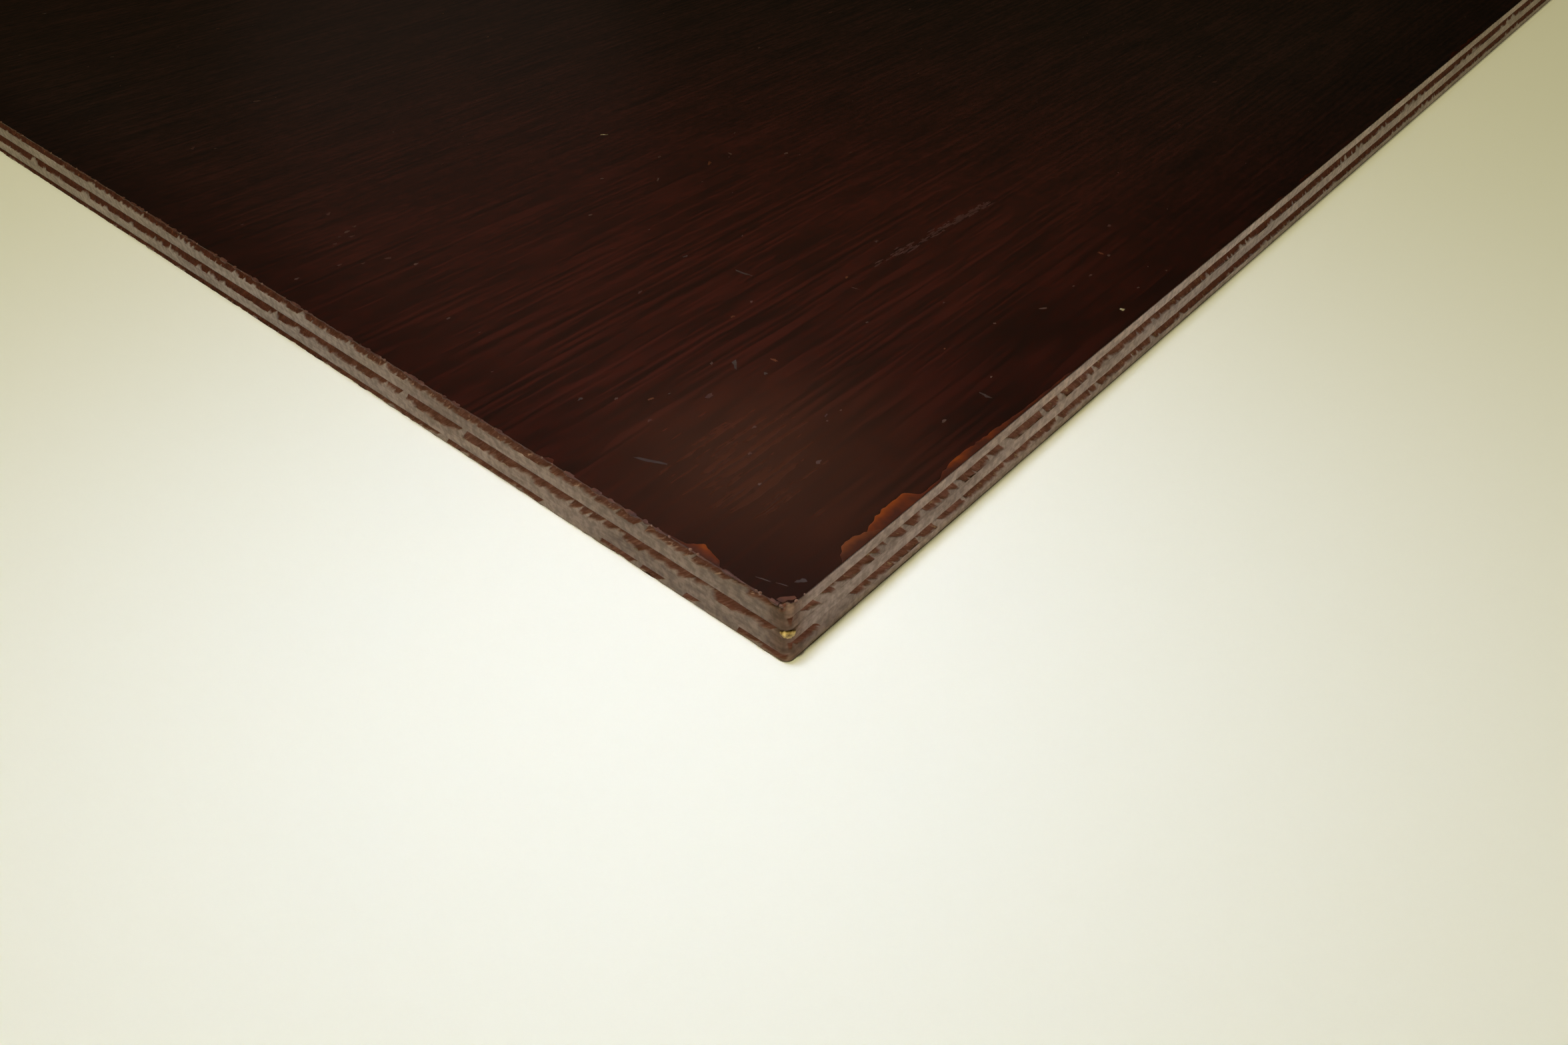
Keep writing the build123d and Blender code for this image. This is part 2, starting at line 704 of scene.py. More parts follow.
    def end_grain(self, sketch: Sketch, check: Socket, grain: Socket) -> Socket:
        """Colour the soaked end grain.

        Args:
            sketch: Tree to add to.
            check: Place across and along the lathe checks.
            grain: How light each fibre is.

        Returns:
            The end grain's colour.
        """
        colour = sketch.ramp(grain, self.soaked_colours)
        pale = sketch.noise(check, self.pale_fibres)
        low, high = self.pale_spread
        strength = min(1.0, self.pale_gain * self.glint)
        shown = sketch.rise(pale, low - self.pale_shift * self.glint, high, 0.0, strength)
        return sketch.mix(shown, colour, self.glint_colour)

    def along_check(self, sketch: Sketch, place: Socket) -> Socket:
        """Measure a place across and along the lathe checks, which run up the edge at a slant.

        Args:
            sketch: Tree to add to.
            place: Place on the sheet.

        Returns:
            Distance across the checks, and height, in metres.
        """
        x, y, z = sketch.axes(place)
        along = sketch.math("ADD", sketch.math("ADD", x, y), self.phase)
        across = sketch.math("MULTIPLY_ADD", z, CHECK_SLANT, along)
        return sketch.add("ShaderNodeCombineXYZ", {0: across, 1: z}).outputs[0]


@dataclass(frozen=True)
class PlainFinish:
    """A finish of one colour family, mottled and lightly bumped."""

    name: str
    low: Colour
    high: Colour
    roughness: float
    per_metre: Triple = (900.0, 900.0, 900.0)
    stops: Span = (0.33, 0.67)
    depth: float = 0.02 * MM

    def build(self) -> bpy.types.Material:
        """Make the material.

        Returns:
            The finish's material.
        """
        material, sketch, shader = new_material(self.name, {"Roughness": self.roughness, "IOR": 1.48})
        cloud = sketch.noise(sketch.place(), Cloud(self.per_metre, 2.0, 0.6))
        colour = sketch.ramp(cloud, tuple(zip(self.stops, (self.low, self.high))))
        sketch.feed(shader, "Base Color", colour)
        sketch.feed(shader, "Normal", sketch.bump(cloud, self.depth))
        return material


@dataclass(frozen=True)
class LapFinish:
    """Sealer that dried on the film: thin and dark red by the arris, bright orange where its rim is thick."""

    name: str
    thin: Colour
    thick: Colour
    rim: Colour
    stops: Triple = (0.10, 0.62, 0.95)
    # How bright the laps are away from the photographed corner, and where that sets in
    far_share: float = 0.40
    far_reach: Span = (0.045, 0.100)
    mottle: Cloud = Cloud((480.0, 480.0, 100.0), 2.0, 0.6)
    mottle_share: float = 1.5
    depth: float = 0.03 * MM

    def build(self, corner: Vector) -> bpy.types.Material:
        """Make the material.

        Args:
            corner: The photographed corner.

        Returns:
            The lap's material.
        """
        material, sketch, shader = new_material(self.name, {"Roughness": 0.42, "Specular IOR Level": 0.25})
        place = sketch.place()
        cloud = sketch.noise(place, self.mottle)
        swing = sketch.math("SUBTRACT", cloud, 0.5)
        tone = sketch.math("MULTIPLY_ADD", swing, self.mottle_share, sketch.stored(RIM_FIELD))
        colour = sketch.ramp(tone, tuple(zip(self.stops, (self.thin, self.thick, self.rim))))
        gap = sketch.distance(place, corner)
        colour = sketch.scale(colour, sketch.rise(gap, *self.far_reach, 1.0, self.far_share))
        sketch.feed(shader, "Base Color", colour)
        sketch.feed(shader, "Normal", sketch.bump(cloud, self.depth))
        return material


# Colour of the pale fibres that stand up in the end grain of the lengthwise and of the crosswise plies
PALE_FIBRES = {Grain.LENGTHWISE: (0.400, 0.240, 0.160), Grain.CROSSWISE: (0.330, 0.235, 0.110)}

FILM_EDGE = PlainFinish(
    "film_edge", (0.030, 0.010, 0.006), (0.115, 0.036, 0.020), 0.5, (1400.0, 1400.0, 300.0)
)
RED_LAP = LapFinish(
    "lapped_sealer", (0.042, 0.011, 0.0060), (0.100, 0.020, 0.0055), (0.170, 0.036, 0.0060)
)
GREY_LAP = LapFinish(
    "greyed_sealer", (0.042, 0.0115, 0.0055), (0.092, 0.0245, 0.0085), (0.136, 0.037, 0.0120)
)
SEALER_BEAD = PlainFinish(
    "sealer_bead", (0.045, 0.014, 0.0085), (0.120, 0.050, 0.034), 0.60, (700.0, 700.0, 700.0)
)
# Pale drops of sealer, and pale specks that stand for glints on the arris: in part a painted highlight
SEALER_DROP_AND_GLINT = PlainFinish(
    "sealer_drop_and_glint", (0.100, 0.040, 0.026), (0.230, 0.125, 0.090), 0.40, (1200.0, 1200.0, 1200.0)
)
BARE_WOOD = PlainFinish(
    "bare_wood", (0.150, 0.075, 0.018), (0.740, 0.530, 0.190), 0.6, (900.0, 1500.0, 1900.0)
)


class MarkKind(Enum):
    """The kinds of small mark on the film, each with its finish."""

    PALE = PlainFinish("pale_mark", (0.200, 0.160, 0.095), (0.400, 0.330, 0.220), 0.5)
    PINK = PlainFinish("pink_mark", (0.038, 0.017, 0.014), (0.084, 0.045, 0.037), 0.5)
    BLUE = PlainFinish("bluish_mark", (0.030, 0.017, 0.015), (0.050, 0.034, 0.031), 0.5)
    ORANGE = PlainFinish("orange_mark", (0.048, 0.014, 0.006), (0.100, 0.030, 0.010), 0.5)
    SCUFF = PlainFinish("scuff_mark", (0.034, 0.013, 0.010), (0.062, 0.026, 0.021), 0.5)


def new_piece(
    name: str,
    vertices: np.ndarray,
    faces: Faces,
    materials: list[bpy.types.Material],
    slots: np.ndarray | None = None,
    smooth_angle: float = 55.0,
) -> bpy.types.Object:
    """Make a mesh object and put it in the scene.

    Args:
        name: Name of the piece.
        vertices: Its points, one row each, in metres.
        faces: Its faces, as indices of points.
        materials: Its materials, in slot order.
        slots: Material slot of each face, or None for the first.
        smooth_angle: Sharpest angle between two faces that still shades smooth, in degrees.

    Returns:
        The new object.
    """
    mesh = bpy.data.meshes.new(name)
    mesh.from_pydata(vertices.tolist(), [], faces)
    for material in materials:
        mesh.materials.append(material)
    if slots is not None:
        mesh.polygons.foreach_set("material_index", slots.astype(np.int32))
    mesh.shade_smooth()
    mesh.set_sharp_from_angle(angle=math.radians(smooth_angle))
    mesh.validate()
    piece = bpy.data.objects.new(name, mesh)
    bpy.context.scene.collection.objects.link(piece)
    return piece


def set_field(piece: bpy.types.Object, name: str, values: np.ndarray) -> None:
    """Store a number with each point of a mesh.

    Args:
        piece: Object whose mesh carries the numbers.
        name: Name of the attribute.
        values: One number for each point, in the order of the points.
    """
    attribute = piece.data.attributes.new(name, "FLOAT", "POINT")
    attribute.data.foreach_set("value", values.astype(np.float32).reshape(-1))


@dataclass
class Pile:
    """Small closed meshes that are joined into one piece."""

    points: list[np.ndarray] = field(default_factory=list)
    faces: Faces = field(default_factory=list)
    slots: list[int] = field(default_factory=list)
    count: int = 0

    def add(self, vertices: np.ndarray, faces: Faces, slot: int = 0) -> None:
        """Add one mesh.

        Args:
            vertices: Its points.
            faces: Its faces, as indices of its own points.
            slot: Material slot of its faces.
        """
        self.points.append(vertices)
        self.faces.extend(tuple(index + self.count for index in face) for face in faces)
        self.slots.extend([slot] * len(faces))
        self.count += len(vertices)

    def piece(self, name: str, materials: list[bpy.types.Material], smooth_angle: float) -> bpy.types.Object:
        """Join the meshes into one piece, with its materials in the order of its slots."""
        slots = np.array(self.slots)
        return new_piece(name, np.vstack(self.points), self.faces, materials, slots, smooth_angle)


def turned(faces: Faces) -> Faces:
    """Turn faces inside out.

    Args:
        faces: The faces.

    Returns:
        The same faces, each with its corners in the opposite order.
    """
    return [face[::-1] for face in faces]


def wall(count: int, level: int) -> np.ndarray:
    """Join one ring of points to the next one up.

    Args:
        count: Number of points in each ring.
        level: Number of the lower ring.

    Returns:
        The four corners of each face, one row each.
    """
    index = np.arange(count)
    low, after = level * count + index, level * count + np.roll(index, -1)
    return np.stack([low, after, after + count, low + count], axis=1)


def prism(rings: np.ndarray) -> tuple[np.ndarray, Faces]:
    """Close a stack of rings into one solid, with a flat face at each end.

    Args:
        rings: Points, as ring, point of the ring, and X, Y and Z, with each ring anticlockwise.

    Returns:
        The points as one list, and the faces: the walls ring by ring, then the bottom, then the top.
    """
    levels, count, _ = rings.shape
    faces: Faces = []
    for level in range(levels - 1):
        faces.extend(map(tuple, wall(count, level).tolist()))
    faces.append(tuple(range(count))[::-1])
    faces.append(tuple(range((levels - 1) * count, levels * count)))
    return rings.reshape(-1, 3), faces


@dataclass
class CornerChip:
    """The splinter that is missing from the core ply: a plane cuts the corner off at a slant."""

    corner: Vector
    along_length: float = 2.3 * MM
    along_width: float = 1.5 * MM
    depth: float = 1.9 * MM

    def cut(self, rings: np.ndarray, top: float) -> np.ndarray:
        """Push the points outside the break back onto it.

        Args:
            rings: Points of the core ply, as ring, point, and X, Y and Z.
            top: Height of the ply's upper face.

        Returns:
            The moved points.
        """
        reach = np.array([self.along_length, self.along_width, self.depth])
        inward = np.array([1.0, 1.0, -1.0])
        origin = np.array([self.corner.x, self.corner.y, top])
        share = ((rings - origin) * inward / reach).sum(axis=2)
        short = np.clip(1.0 - share, 0.0, None)
        # The break is followed straight into the board, along the diagonal of the corner
        diagonal = np.array([1.0, 1.0, 0.0]) / (1.0 / self.along_length + 1.0 / self.along_width)
        return rings + short[..., None] * diagonal


@dataclass
class BareSplinter:
    """A tongue of bare yellow wood that stands in the chip and wraps round the corner."""

    corner: Vector
    corner_radius: float
    # Middle of the tongue: along the outline from the middle of the corner, towards the long edge, and up
    along: float = 0.30 * MM
    height: float = 4.45 * MM
    half_length: float = 1.05 * MM
    half_height: float = 0.55 * MM
    thickness: float = 0.34 * MM
    sink: float = 0.14 * MM
    # How far the tongue drops towards the long edge, as a share of the way
    slope: float = 0.10
    # Raggedness of the whole outline and of each row
    ragged: float = 0.34
    ragged_row: float = 0.12
    rows: int = 12
    steps: int = 28
    seed: int = 5

    def build(self, wood: bpy.types.Material) -> bpy.types.Object:
        """Make the tongue.

        Args:
            wood: Material of fresh wood.

        Returns:
            The tongue.
        """
        turn = np.linspace(0.0, FULL_TURN, self.steps, endpoint=False)[None]
        tilt = np.linspace(0.0, math.pi, self.rows + 2)[1:-1, None]
        rng = np.random.default_rng(self.seed)
        outline = self.ragged * (rng.random((1, self.steps)) - 0.5)
        ragged = 1.0 + outline + self.ragged_row * (rng.random((self.rows, self.steps)) - 0.5)
        sideways = np.sin(tilt) * ragged
        along = self.along + self.half_length * sideways * np.cos(turn)
        height = self.height + self.half_height * sideways * np.sin(turn) - self.slope * (along - self.along)
        outward = -self.sink - self.thickness * np.cos(tilt) * np.ones_like(turn)
        vertices, faces = prism(self.wrapped(along, outward, height))
        piece = new_piece("bare_splinter", vertices, faces, [wood], smooth_angle=45.0)
        return piece

    def wrapped(self, along: np.ndarray, outward: np.ndarray, height: np.ndarray) -> np.ndarray:
        """Place points that are measured along the rounded corner of the outline.

        Args:
            along: Distance along the outline from the middle of the corner, towards the long edge.
            outward: Distance out of the outline.
            height: Height above the floor.

        Returns:
            The points in the frame.
        """
        radius = self.corner_radius
        half_arc = radius * math.pi / 4
        on_arc = np.clip(along, -half_arc, half_arc)
        angle = math.radians(225.0) + on_arc / radius
        beyond = along - on_arc
        normal = np.stack([np.cos(angle), np.sin(angle)])
        ahead = np.stack([-normal[1], normal[0]])
        centre = np.array([self.corner.x + radius, self.corner.y + radius])[:, None, None]
        flat = centre + normal * (radius + outward) + ahead * beyond
        return np.stack([flat[0], flat[1], height], axis=-1)


def stitch(outer: np.ndarray, inner: np.ndarray, first_outer: int, first_inner: int) -> Faces:
    """Join two closed rings with triangles that face up.

    Args:
        outer: Stations of the outer ring's points.
        inner: Stations of the inner ring's points.
        first_outer: Index of the outer ring's first point.
        first_inner: Index of the inner ring's first point.

    Returns:
        The triangles.
    """
    laps = len(Side)
    outer_ends = [*outer[1:].tolist(), laps + float(outer[0])]
    inner_ends = [*inner[1:].tolist(), laps + float(inner[0])]
    faces: Faces = []
    i = j = 0
    while i < len(outer) or j < len(inner):
        here = (first_outer + i % len(outer), first_inner + j % len(inner))
        if j >= len(inner) or (i < len(outer) and outer_ends[i] <= inner_ends[j]):
            i += 1
            faces.append((here[0], first_outer + i % len(outer), here[1]))
        else:
            j += 1
            faces.append((here[0], first_inner + j % len(inner), here[1]))
    return faces


def layer(rings: np.ndarray, columns: Columns, outline: SheetOutline) -> tuple[np.ndarray, Faces]:
    """Close a stack of rings into one layer of the sheet, whose flat faces have no long slivers.

    Args:
        rings: Points, as ring, point of the ring, and X, Y and Z, from the underside up.
        columns: The outline's points.
        outline: The sheet's outline.

    Returns:
        The points as one list, and the faces: the walls ring by ring, then the bottom, then the top.
    """
    levels, count, _ = rings.shape
    faces: Faces = []
    # The first corner sets how a face is halved: along the slant of the lathe checks on every side
    start_later = (columns.station < Side.LONG_FAR.value)[:, None]
    for level in range(levels - 1):
        quads = wall(count, level)
        quads = np.where(start_later, np.roll(quads, -1, axis=1), quads)
        faces.extend(map(tuple, quads.tolist()))
    points = [rings.reshape(-1, 3)]
    used = levels * count
    for level, upward in ((0, False), (levels - 1, True)):
        first, stations = level * count, columns.station
        cap: Faces = []
        for inset, step in outline.inner_rings:
            flat, inner = outline.inner_ring(inset, step)
            points.append(np.column_stack([flat, np.full(len(flat), rings[level, 0, 2])]))
            cap += stitch(stations, inner, first, used)
            first, stations = used, inner
            used += len(flat)
        cap.append(tuple(range(first, used)))
        faces += cap if upward else turned(cap)
    return np.vstack(points), faces


@dataclass(frozen=True)
class Closed:
    """A stretch of end grain where the coat of sealer closed, in millimetres from the photographed corner."""

    side: Side
    start: float
    end: float
    # Share of the ply's thickness that the closed coat takes
    share: float = 1.3


def closed(side: Side, *stretches: tuple[float, float]) -> tuple[Closed, ...]:
    """List closed stretches of one edge.

    Args:
        side: The edge.
        stretches: Where each starts and ends, in millimetres from the photographed corner.

    Returns:
        The stretches.
    """
    return tuple(Closed(side, start, end) for start, end in stretches)


class PlyNoise(Enum):
    """The noises that shape a sawn edge: the number of each, and the size of its cells."""

    STRETCH = (1, 15.0 * MM)
    WAVE = (2, 2.4 * MM)
    RIPPLE = (3, 0.7 * MM)
    TONGUE = (4, 1.0 * MM)
    TONGUE_REACH = (5, 3.1 * MM)
    SAW = (6, 1.9 * MM)
    BRUSH = (7, 0.9 * MM)
    FIBRE = (8, 0.5 * MM)
    CHECK = (9, 1.3 * MM)
    COAT_END = (10, 0.9 * MM)


def peaked(noise: np.ndarray) -> np.ndarray:
    """Fold a noise so that it peaks where it was 0.5.

    Args:
        noise: The noise, from 0 to 1.

    Returns:
        The folded noise, from 0 to 1.
    """
    return 1.0 - np.abs(2.0 * noise - 1.0)


@dataclass
class Ply:
    """One veneer of the lay-up, with the relief of its four sawn edges."""

    node: str
    grain: Grain
    seed: int
    # How far up the ply the closed coat reaches on its end grain, as a share of its thickness
    coat_rise: float
    closed: tuple[Closed, ...]
    # Brightness of the closed coat on the long edges, raised as painted light where the lamps leave them
    # darker
    tone: float
    # How high the coat's pointed tongues reach up the lathe checks, and a factor on their width
    tongue: float
    tongue_width: float
    chip: CornerChip | None = None
    # Share of the end grain that stands up in pale fibres
    glint: float = 0.15
    # How far the closed coat's edge wanders, and the shares of wave, ripple and long stretches in it
    wavy: float = 0.25
    wander: Triple = (0.9, 0.5, 0.6)
    # Lowest reach of a tongue and what noise adds to it, and the same for how the long stretches scale it
    tongue_reach: tuple[float, float] = (0.15, 0.95)
    tongue_scale: tuple[float, float] = (0.55, 0.75)
    # Height in the noise at which a tongue starts
    tongue_foot: float = 0.60
    # How far the ply's top is worn back at the very corner of the sheet, and how far the wear reaches
    tip_wear: float = 0.0
    tip_reach: float = 1.5 * MM
    tip_heights: Span = (0.45, 1.0)
    # Strength of the closed coat by the corners of the sheet, and how far it reaches
    corner_coat: float = 0.35
    corner_reach: float = 7.0 * MM
    # How much lower the closed coat ends away from the corners, and where that sets in
    far_drop: float = 0.13
    far_reach: Span = (45.0 * MM, 110.0 * MM)
    # Ends of the closed stretches: how rough and how soft they are in millimetres, and how low they start
    end_rough: float = 0.4
    end_soft: float = 0.35
    end_sink: float = 0.15
    # Soak where the edge runs along the fibres: all coat
    side_soak: float = -0.6
    # Soak at which the relief of the coat gives way to that of the end grain
    soaked_spread: Span = (-0.08, 0.12)
    smooth_depth: float = 0.05 * MM
    soaked_depth: float = 0.16 * MM
    check_depth: float = 0.12 * MM
    arris_depth: float = 0.02 * MM
    # Peaks of the noise that are open checks, and distances from mid-height that are an arris
    check_spread: Span = (0.86, 1.0)
    arris_spread: Span = (0.90, 1.0)
    # How far the brush's and the fibres' relief shifts from the ply's underside to its top, in millimetres
    brush_shift: float = 31.0
    fibre_shift: float = 17.0
    # Heights of the rings of points, as shares of the thickness
    levels: tuple[float, ...] = (0.0, 0.04, 0.14, 0.26, 0.38, 0.5, 0.62, 0.74, 0.86, 0.96, 1.0)

    def read(self, noise: PlyNoise, place: np.ndarray, wider: float = 1.0) -> np.ndarray:
        """Read one of this ply's own noises, from 0 to 1, with its cells so many times wider."""
        number, cell = noise.value
        return Lattice(self.seed * 100 + number, cell * wider).at(place)

    def slanted(self, columns: Columns, height: np.ndarray, thickness: float) -> np.ndarray:
        """Measure places along the edge from one lathe check to the next, whatever their height."""
        return columns.trace[None] + height * thickness * CHECK_SLANT

    def soak(self, columns: Columns, height: np.ndarray, thickness: float) -> np.ndarray:
        """Work out where the end grain has soaked the sealer up.

        Args:
            columns: The outline's points.
            height: Shares of the thickness, one row for each ring.
            thickness: Thickness of the ply.

        Returns:
            Field that is above zero in soaked end grain, as ring and point.
        """
        slanted = self.slanted(columns, height, thickness)
        stretch = self.read(PlyNoise.STRETCH, columns.trace)[None]
        noises = (self.read(PlyNoise.WAVE, slanted), self.read(PlyNoise.RIPPLE, slanted), stretch)
        coat = self.coat_rise + self.wavy * sum(share * (n - 0.5) for share, n in zip(self.wander, noises))
        tongue = peaked(self.read(PlyNoise.TONGUE, slanted, self.tongue_width))
        tongue = np.clip((tongue - self.tongue_foot) / (1.0 - self.tongue_foot), 0.0, 1.0)
        (low, more), (scale_low, scale_more) = self.tongue_reach, self.tongue_scale
        reach = (low + more * self.read(PlyNoise.TONGUE_REACH, slanted)) * (scale_low + scale_more * stretch)
        coat = coat + self.tongue * reach * tongue
        coat = coat + self.corner_coat * np.exp(-columns.corner_gap / self.corner_reach)[None]
        coat = coat - self.far_drop * ease(columns.corner_gap, *self.far_reach)[None]
        middle = slanted - 0.5 * thickness * CHECK_SLANT
        rough = self.end_rough * (self.read(PlyNoise.COAT_END, columns.trace) - 0.5)
        for part in self.closed:
            along = (middle - part.side.value * TRACE_GAP) / MM
            inside = np.minimum(along - part.start, part.end - along)
            closed_coat = ease(inside + rough, -self.end_soft, self.end_soft) * part.share - self.end_sink
            coat = np.maximum(coat, closed_coat)
        end = self.end_grain(columns)
        return (height - coat) * end + self.side_soak * (1.0 - end)

    def end_grain(self, columns: Columns) -> np.ndarray:
        """Give 1 where the edge cuts the fibres off and 0 where it runs along them, in one row."""
        end = columns.on_short if self.grain is Grain.LENGTHWISE else 1.0 - columns.on_short
        return end[None]

    def inset(self, columns: Columns, height: np.ndarray, soak: np.ndarray, thickness: float) -> np.ndarray:
        """Work out how far the surface lies inside the trimmed outline.

        Args:
            columns: The outline's points.
            height: Shares of the thickness, one row for each ring.
            soak: The soak field.
            thickness: Thickness of the ply.

        Returns:
            Distances in metres, as ring and point.
        """
        slanted = self.slanted(columns, height, thickness)
        saw = self.read(PlyNoise.SAW, columns.trace)[None]
        brush = self.read(PlyNoise.BRUSH, columns.trace[None] + height * self.brush_shift * MM)
        fibre = self.read(PlyNoise.FIBRE, slanted + height * self.fibre_shift * MM)
        check = ease(peaked(self.read(PlyNoise.CHECK, slanted)), *self.check_spread)
        tip = np.exp(-((columns.corner_gap / self.tip_reach) ** 2))[None] * ease(height, *self.tip_heights)
        end = self.end_grain(columns)
        soaked = ease(soak, *self.soaked_spread)
        arris = ease(np.abs(2.0 * height - 1.0), *self.arris_spread)
        return (
            self.smooth_depth * (0.5 * saw + 0.5 * brush)
            + self.soaked_depth * soaked * (0.45 + 0.55 * fibre)
            + self.check_depth * check * end * soaked
            + self.arris_depth * arris * (0.4 + 0.6 * saw)
            + self.tip_wear * tip
        )

    def build(self, outline: SheetOutline, columns: Columns, edge: bpy.types.Material) -> bpy.types.Object:
        """Make the ply where its CAD node lies.

        Args:
            outline: The sheet's outline.
            columns: The outline's points.
            edge: Material of the sawn edges.

        Returns:
            The dressed ply.
        """
        low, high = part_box(self.node)
        thickness = high.z - low.z
        height = np.array(self.levels)[:, None]
        soak = self.soak(columns, height, thickness)
        inset = self.inset(columns, height, soak, thickness)
        rings = np.empty((len(self.levels), columns.count(), 3))
        rings[..., :2] = columns.point[None] - columns.outward[None] * inset[..., None]
        rings[..., 2] = low.z + height * thickness
        if self.chip is not None:
            rings = self.chip.cut(rings, high.z)
        vertices, faces = layer(rings, columns, outline)
        piece = new_piece(f"{self.node}_ply", vertices, faces, [edge])
        # The flat faces' own points come after the edge's, and count as coat
        soaked = np.full(len(vertices), -1.0)
        soaked[: soak.size] = np.clip(soak, -1.0, 1.0).reshape(-1)
        set_field(piece, SOAK_FIELD, soaked)
        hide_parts(self.node)
        return piece


@dataclass
class FilmSheet:
    """The phenolic film on one face of the sheet, torn a little along its trimmed outline."""

    node: str
    seed: int
    # Deepest nicks along the two kinds of edge
    short_nick: float = 0.30 * MM
    long_nick: float = 0.07 * MM
    # Cells of the fine tear and of the bites, and the noise at which a bite starts and is full
    tear_cell: float = 1.1 * MM
    bite_cell: float = 2.9 * MM
    bite_spread: Span = (0.55, 0.95)
    # Shares of a nick that are everywhere, that follow the tear and that follow the bites
    nick_shares: Triple = (0.15, 0.35, 0.50)
    tip_wear: float = 0.9 * MM
    tip_reach: float = 1.3 * MM

    def build(
        self, outline: SheetOutline, columns: Columns, face: bpy.types.Material, edge: bpy.types.Material
    ) -> bpy.types.Object:
        """Make the film where its CAD node lies.

        Args:
            outline: The sheet's outline.
            columns: The outline's points.
            face: Material of the film's faces.
            edge: Material of its torn edge.

        Returns:
            The dressed film.
        """
        low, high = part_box(self.node)
        tear = Lattice(self.seed, self.tear_cell).at(columns.trace)
        bite = ease(Lattice(self.seed + 1, self.bite_cell).at(columns.trace), *self.bite_spread)
        nick = columns.on_short * self.short_nick + (1.0 - columns.on_short) * self.long_nick
        everywhere, torn, bitten = self.nick_shares
        worn = self.tip_wear * np.exp(-((columns.corner_gap / self.tip_reach) ** 2)) * (0.6 + 0.4 * tear)
        inset = nick * (everywhere + torn * tear + bitten * tear * bite) + worn
        rings = np.empty((2, columns.count(), 3))
        rings[..., :2] = columns.point[None] - columns.outward[None] * inset[None, :, None]
        rings[..., 2] = np.array([low.z, high.z])[:, None]
        vertices, faces = layer(rings, columns, outline)
        slots = np.zeros(len(faces))
        slots[: columns.count()] = 1
        piece = new_piece(f"{self.node}_sheet", vertices, faces, [face, edge], slots, smooth_angle=40.0)
        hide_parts(self.node)
        return piece


@dataclass(frozen=True)
class Lap:
    """One lap of sealer on the film, with its start along its edge and its widths, in millimetres."""

    side: Side
    start: float
    # Distance from one width to the next
    step: float
    widths: tuple[float, ...]
    greyed: bool = False


@dataclass
class FilmFrame:
    """Places points on the sheet by their distances along and in from one of its edges."""

    length: float
    width: float

    def place(self, side: Side, along: np.ndarray, depth: np.ndarray, height: np.ndarray) -> np.ndarray:
        """Place points that are measured from an edge.

        Args:
            side: The edge.
            along: Distance along it, from the end that is nearer to the photographed corner.
            depth: Distance in from it.
            height: Height above the floor.

        Returns:
            The points in the frame.
        """
        along, depth, height = np.broadcast_arrays(along, depth, height)
        if side is Side.LONG_NEAR:
            flat = (along - self.length / 2, depth - self.width / 2)
        elif side is Side.LONG_FAR:
            flat = (along - self.length / 2, self.width / 2 - depth)
        elif side is Side.SHORT_NEAR:
            flat = (depth - self.length / 2, along - self.width / 2)
        else:
            flat = (self.length / 2 - depth, along - self.width / 2)
        return np.stack([*flat, height], axis=-1)

    def reach(self, side: Side) -> float:
        """Give the length of one edge."""
        return self.width if side.is_short() else self.length

    def mirrored(self, side: Side) -> bool:
        """Tell whether distances along and in from this edge make a left-handed pair."""
        return side in (Side.LONG_FAR, Side.SHORT_NEAR)


def pad_faces(rows: int, count: int) -> Faces:
    """Join an upper and a lower sheet of points, which have the same rows, into one closed pad.

    Args:
        rows: Number of rows in each sheet.
        count: Number of points in each row.

    Returns:
        The faces of both sheets, then those of the rim between them.
    """
    under = rows * count
    faces: Faces = []
    for row in range(rows - 1):
        for column in range(count - 1):
            first = row * count + column
            quad = (first, first + 1, first + count + 1, first + count)
            faces.append(quad)
            faces.append(tuple(index + under for index in quad[::-1]))
    last = (rows - 1) * count
    border = [*range(count), *(row * count + count - 1 for row in range(1, rows))]
    border += [*(last + column for column in range(count - 2, -1, -1))]
    border += [*(row * count for row in range(rows - 2, 0, -1))]
    for here, after in zip(border, border[1:] + border[:1]):
        faces.append((after, here, here + under, after + under))
    return faces


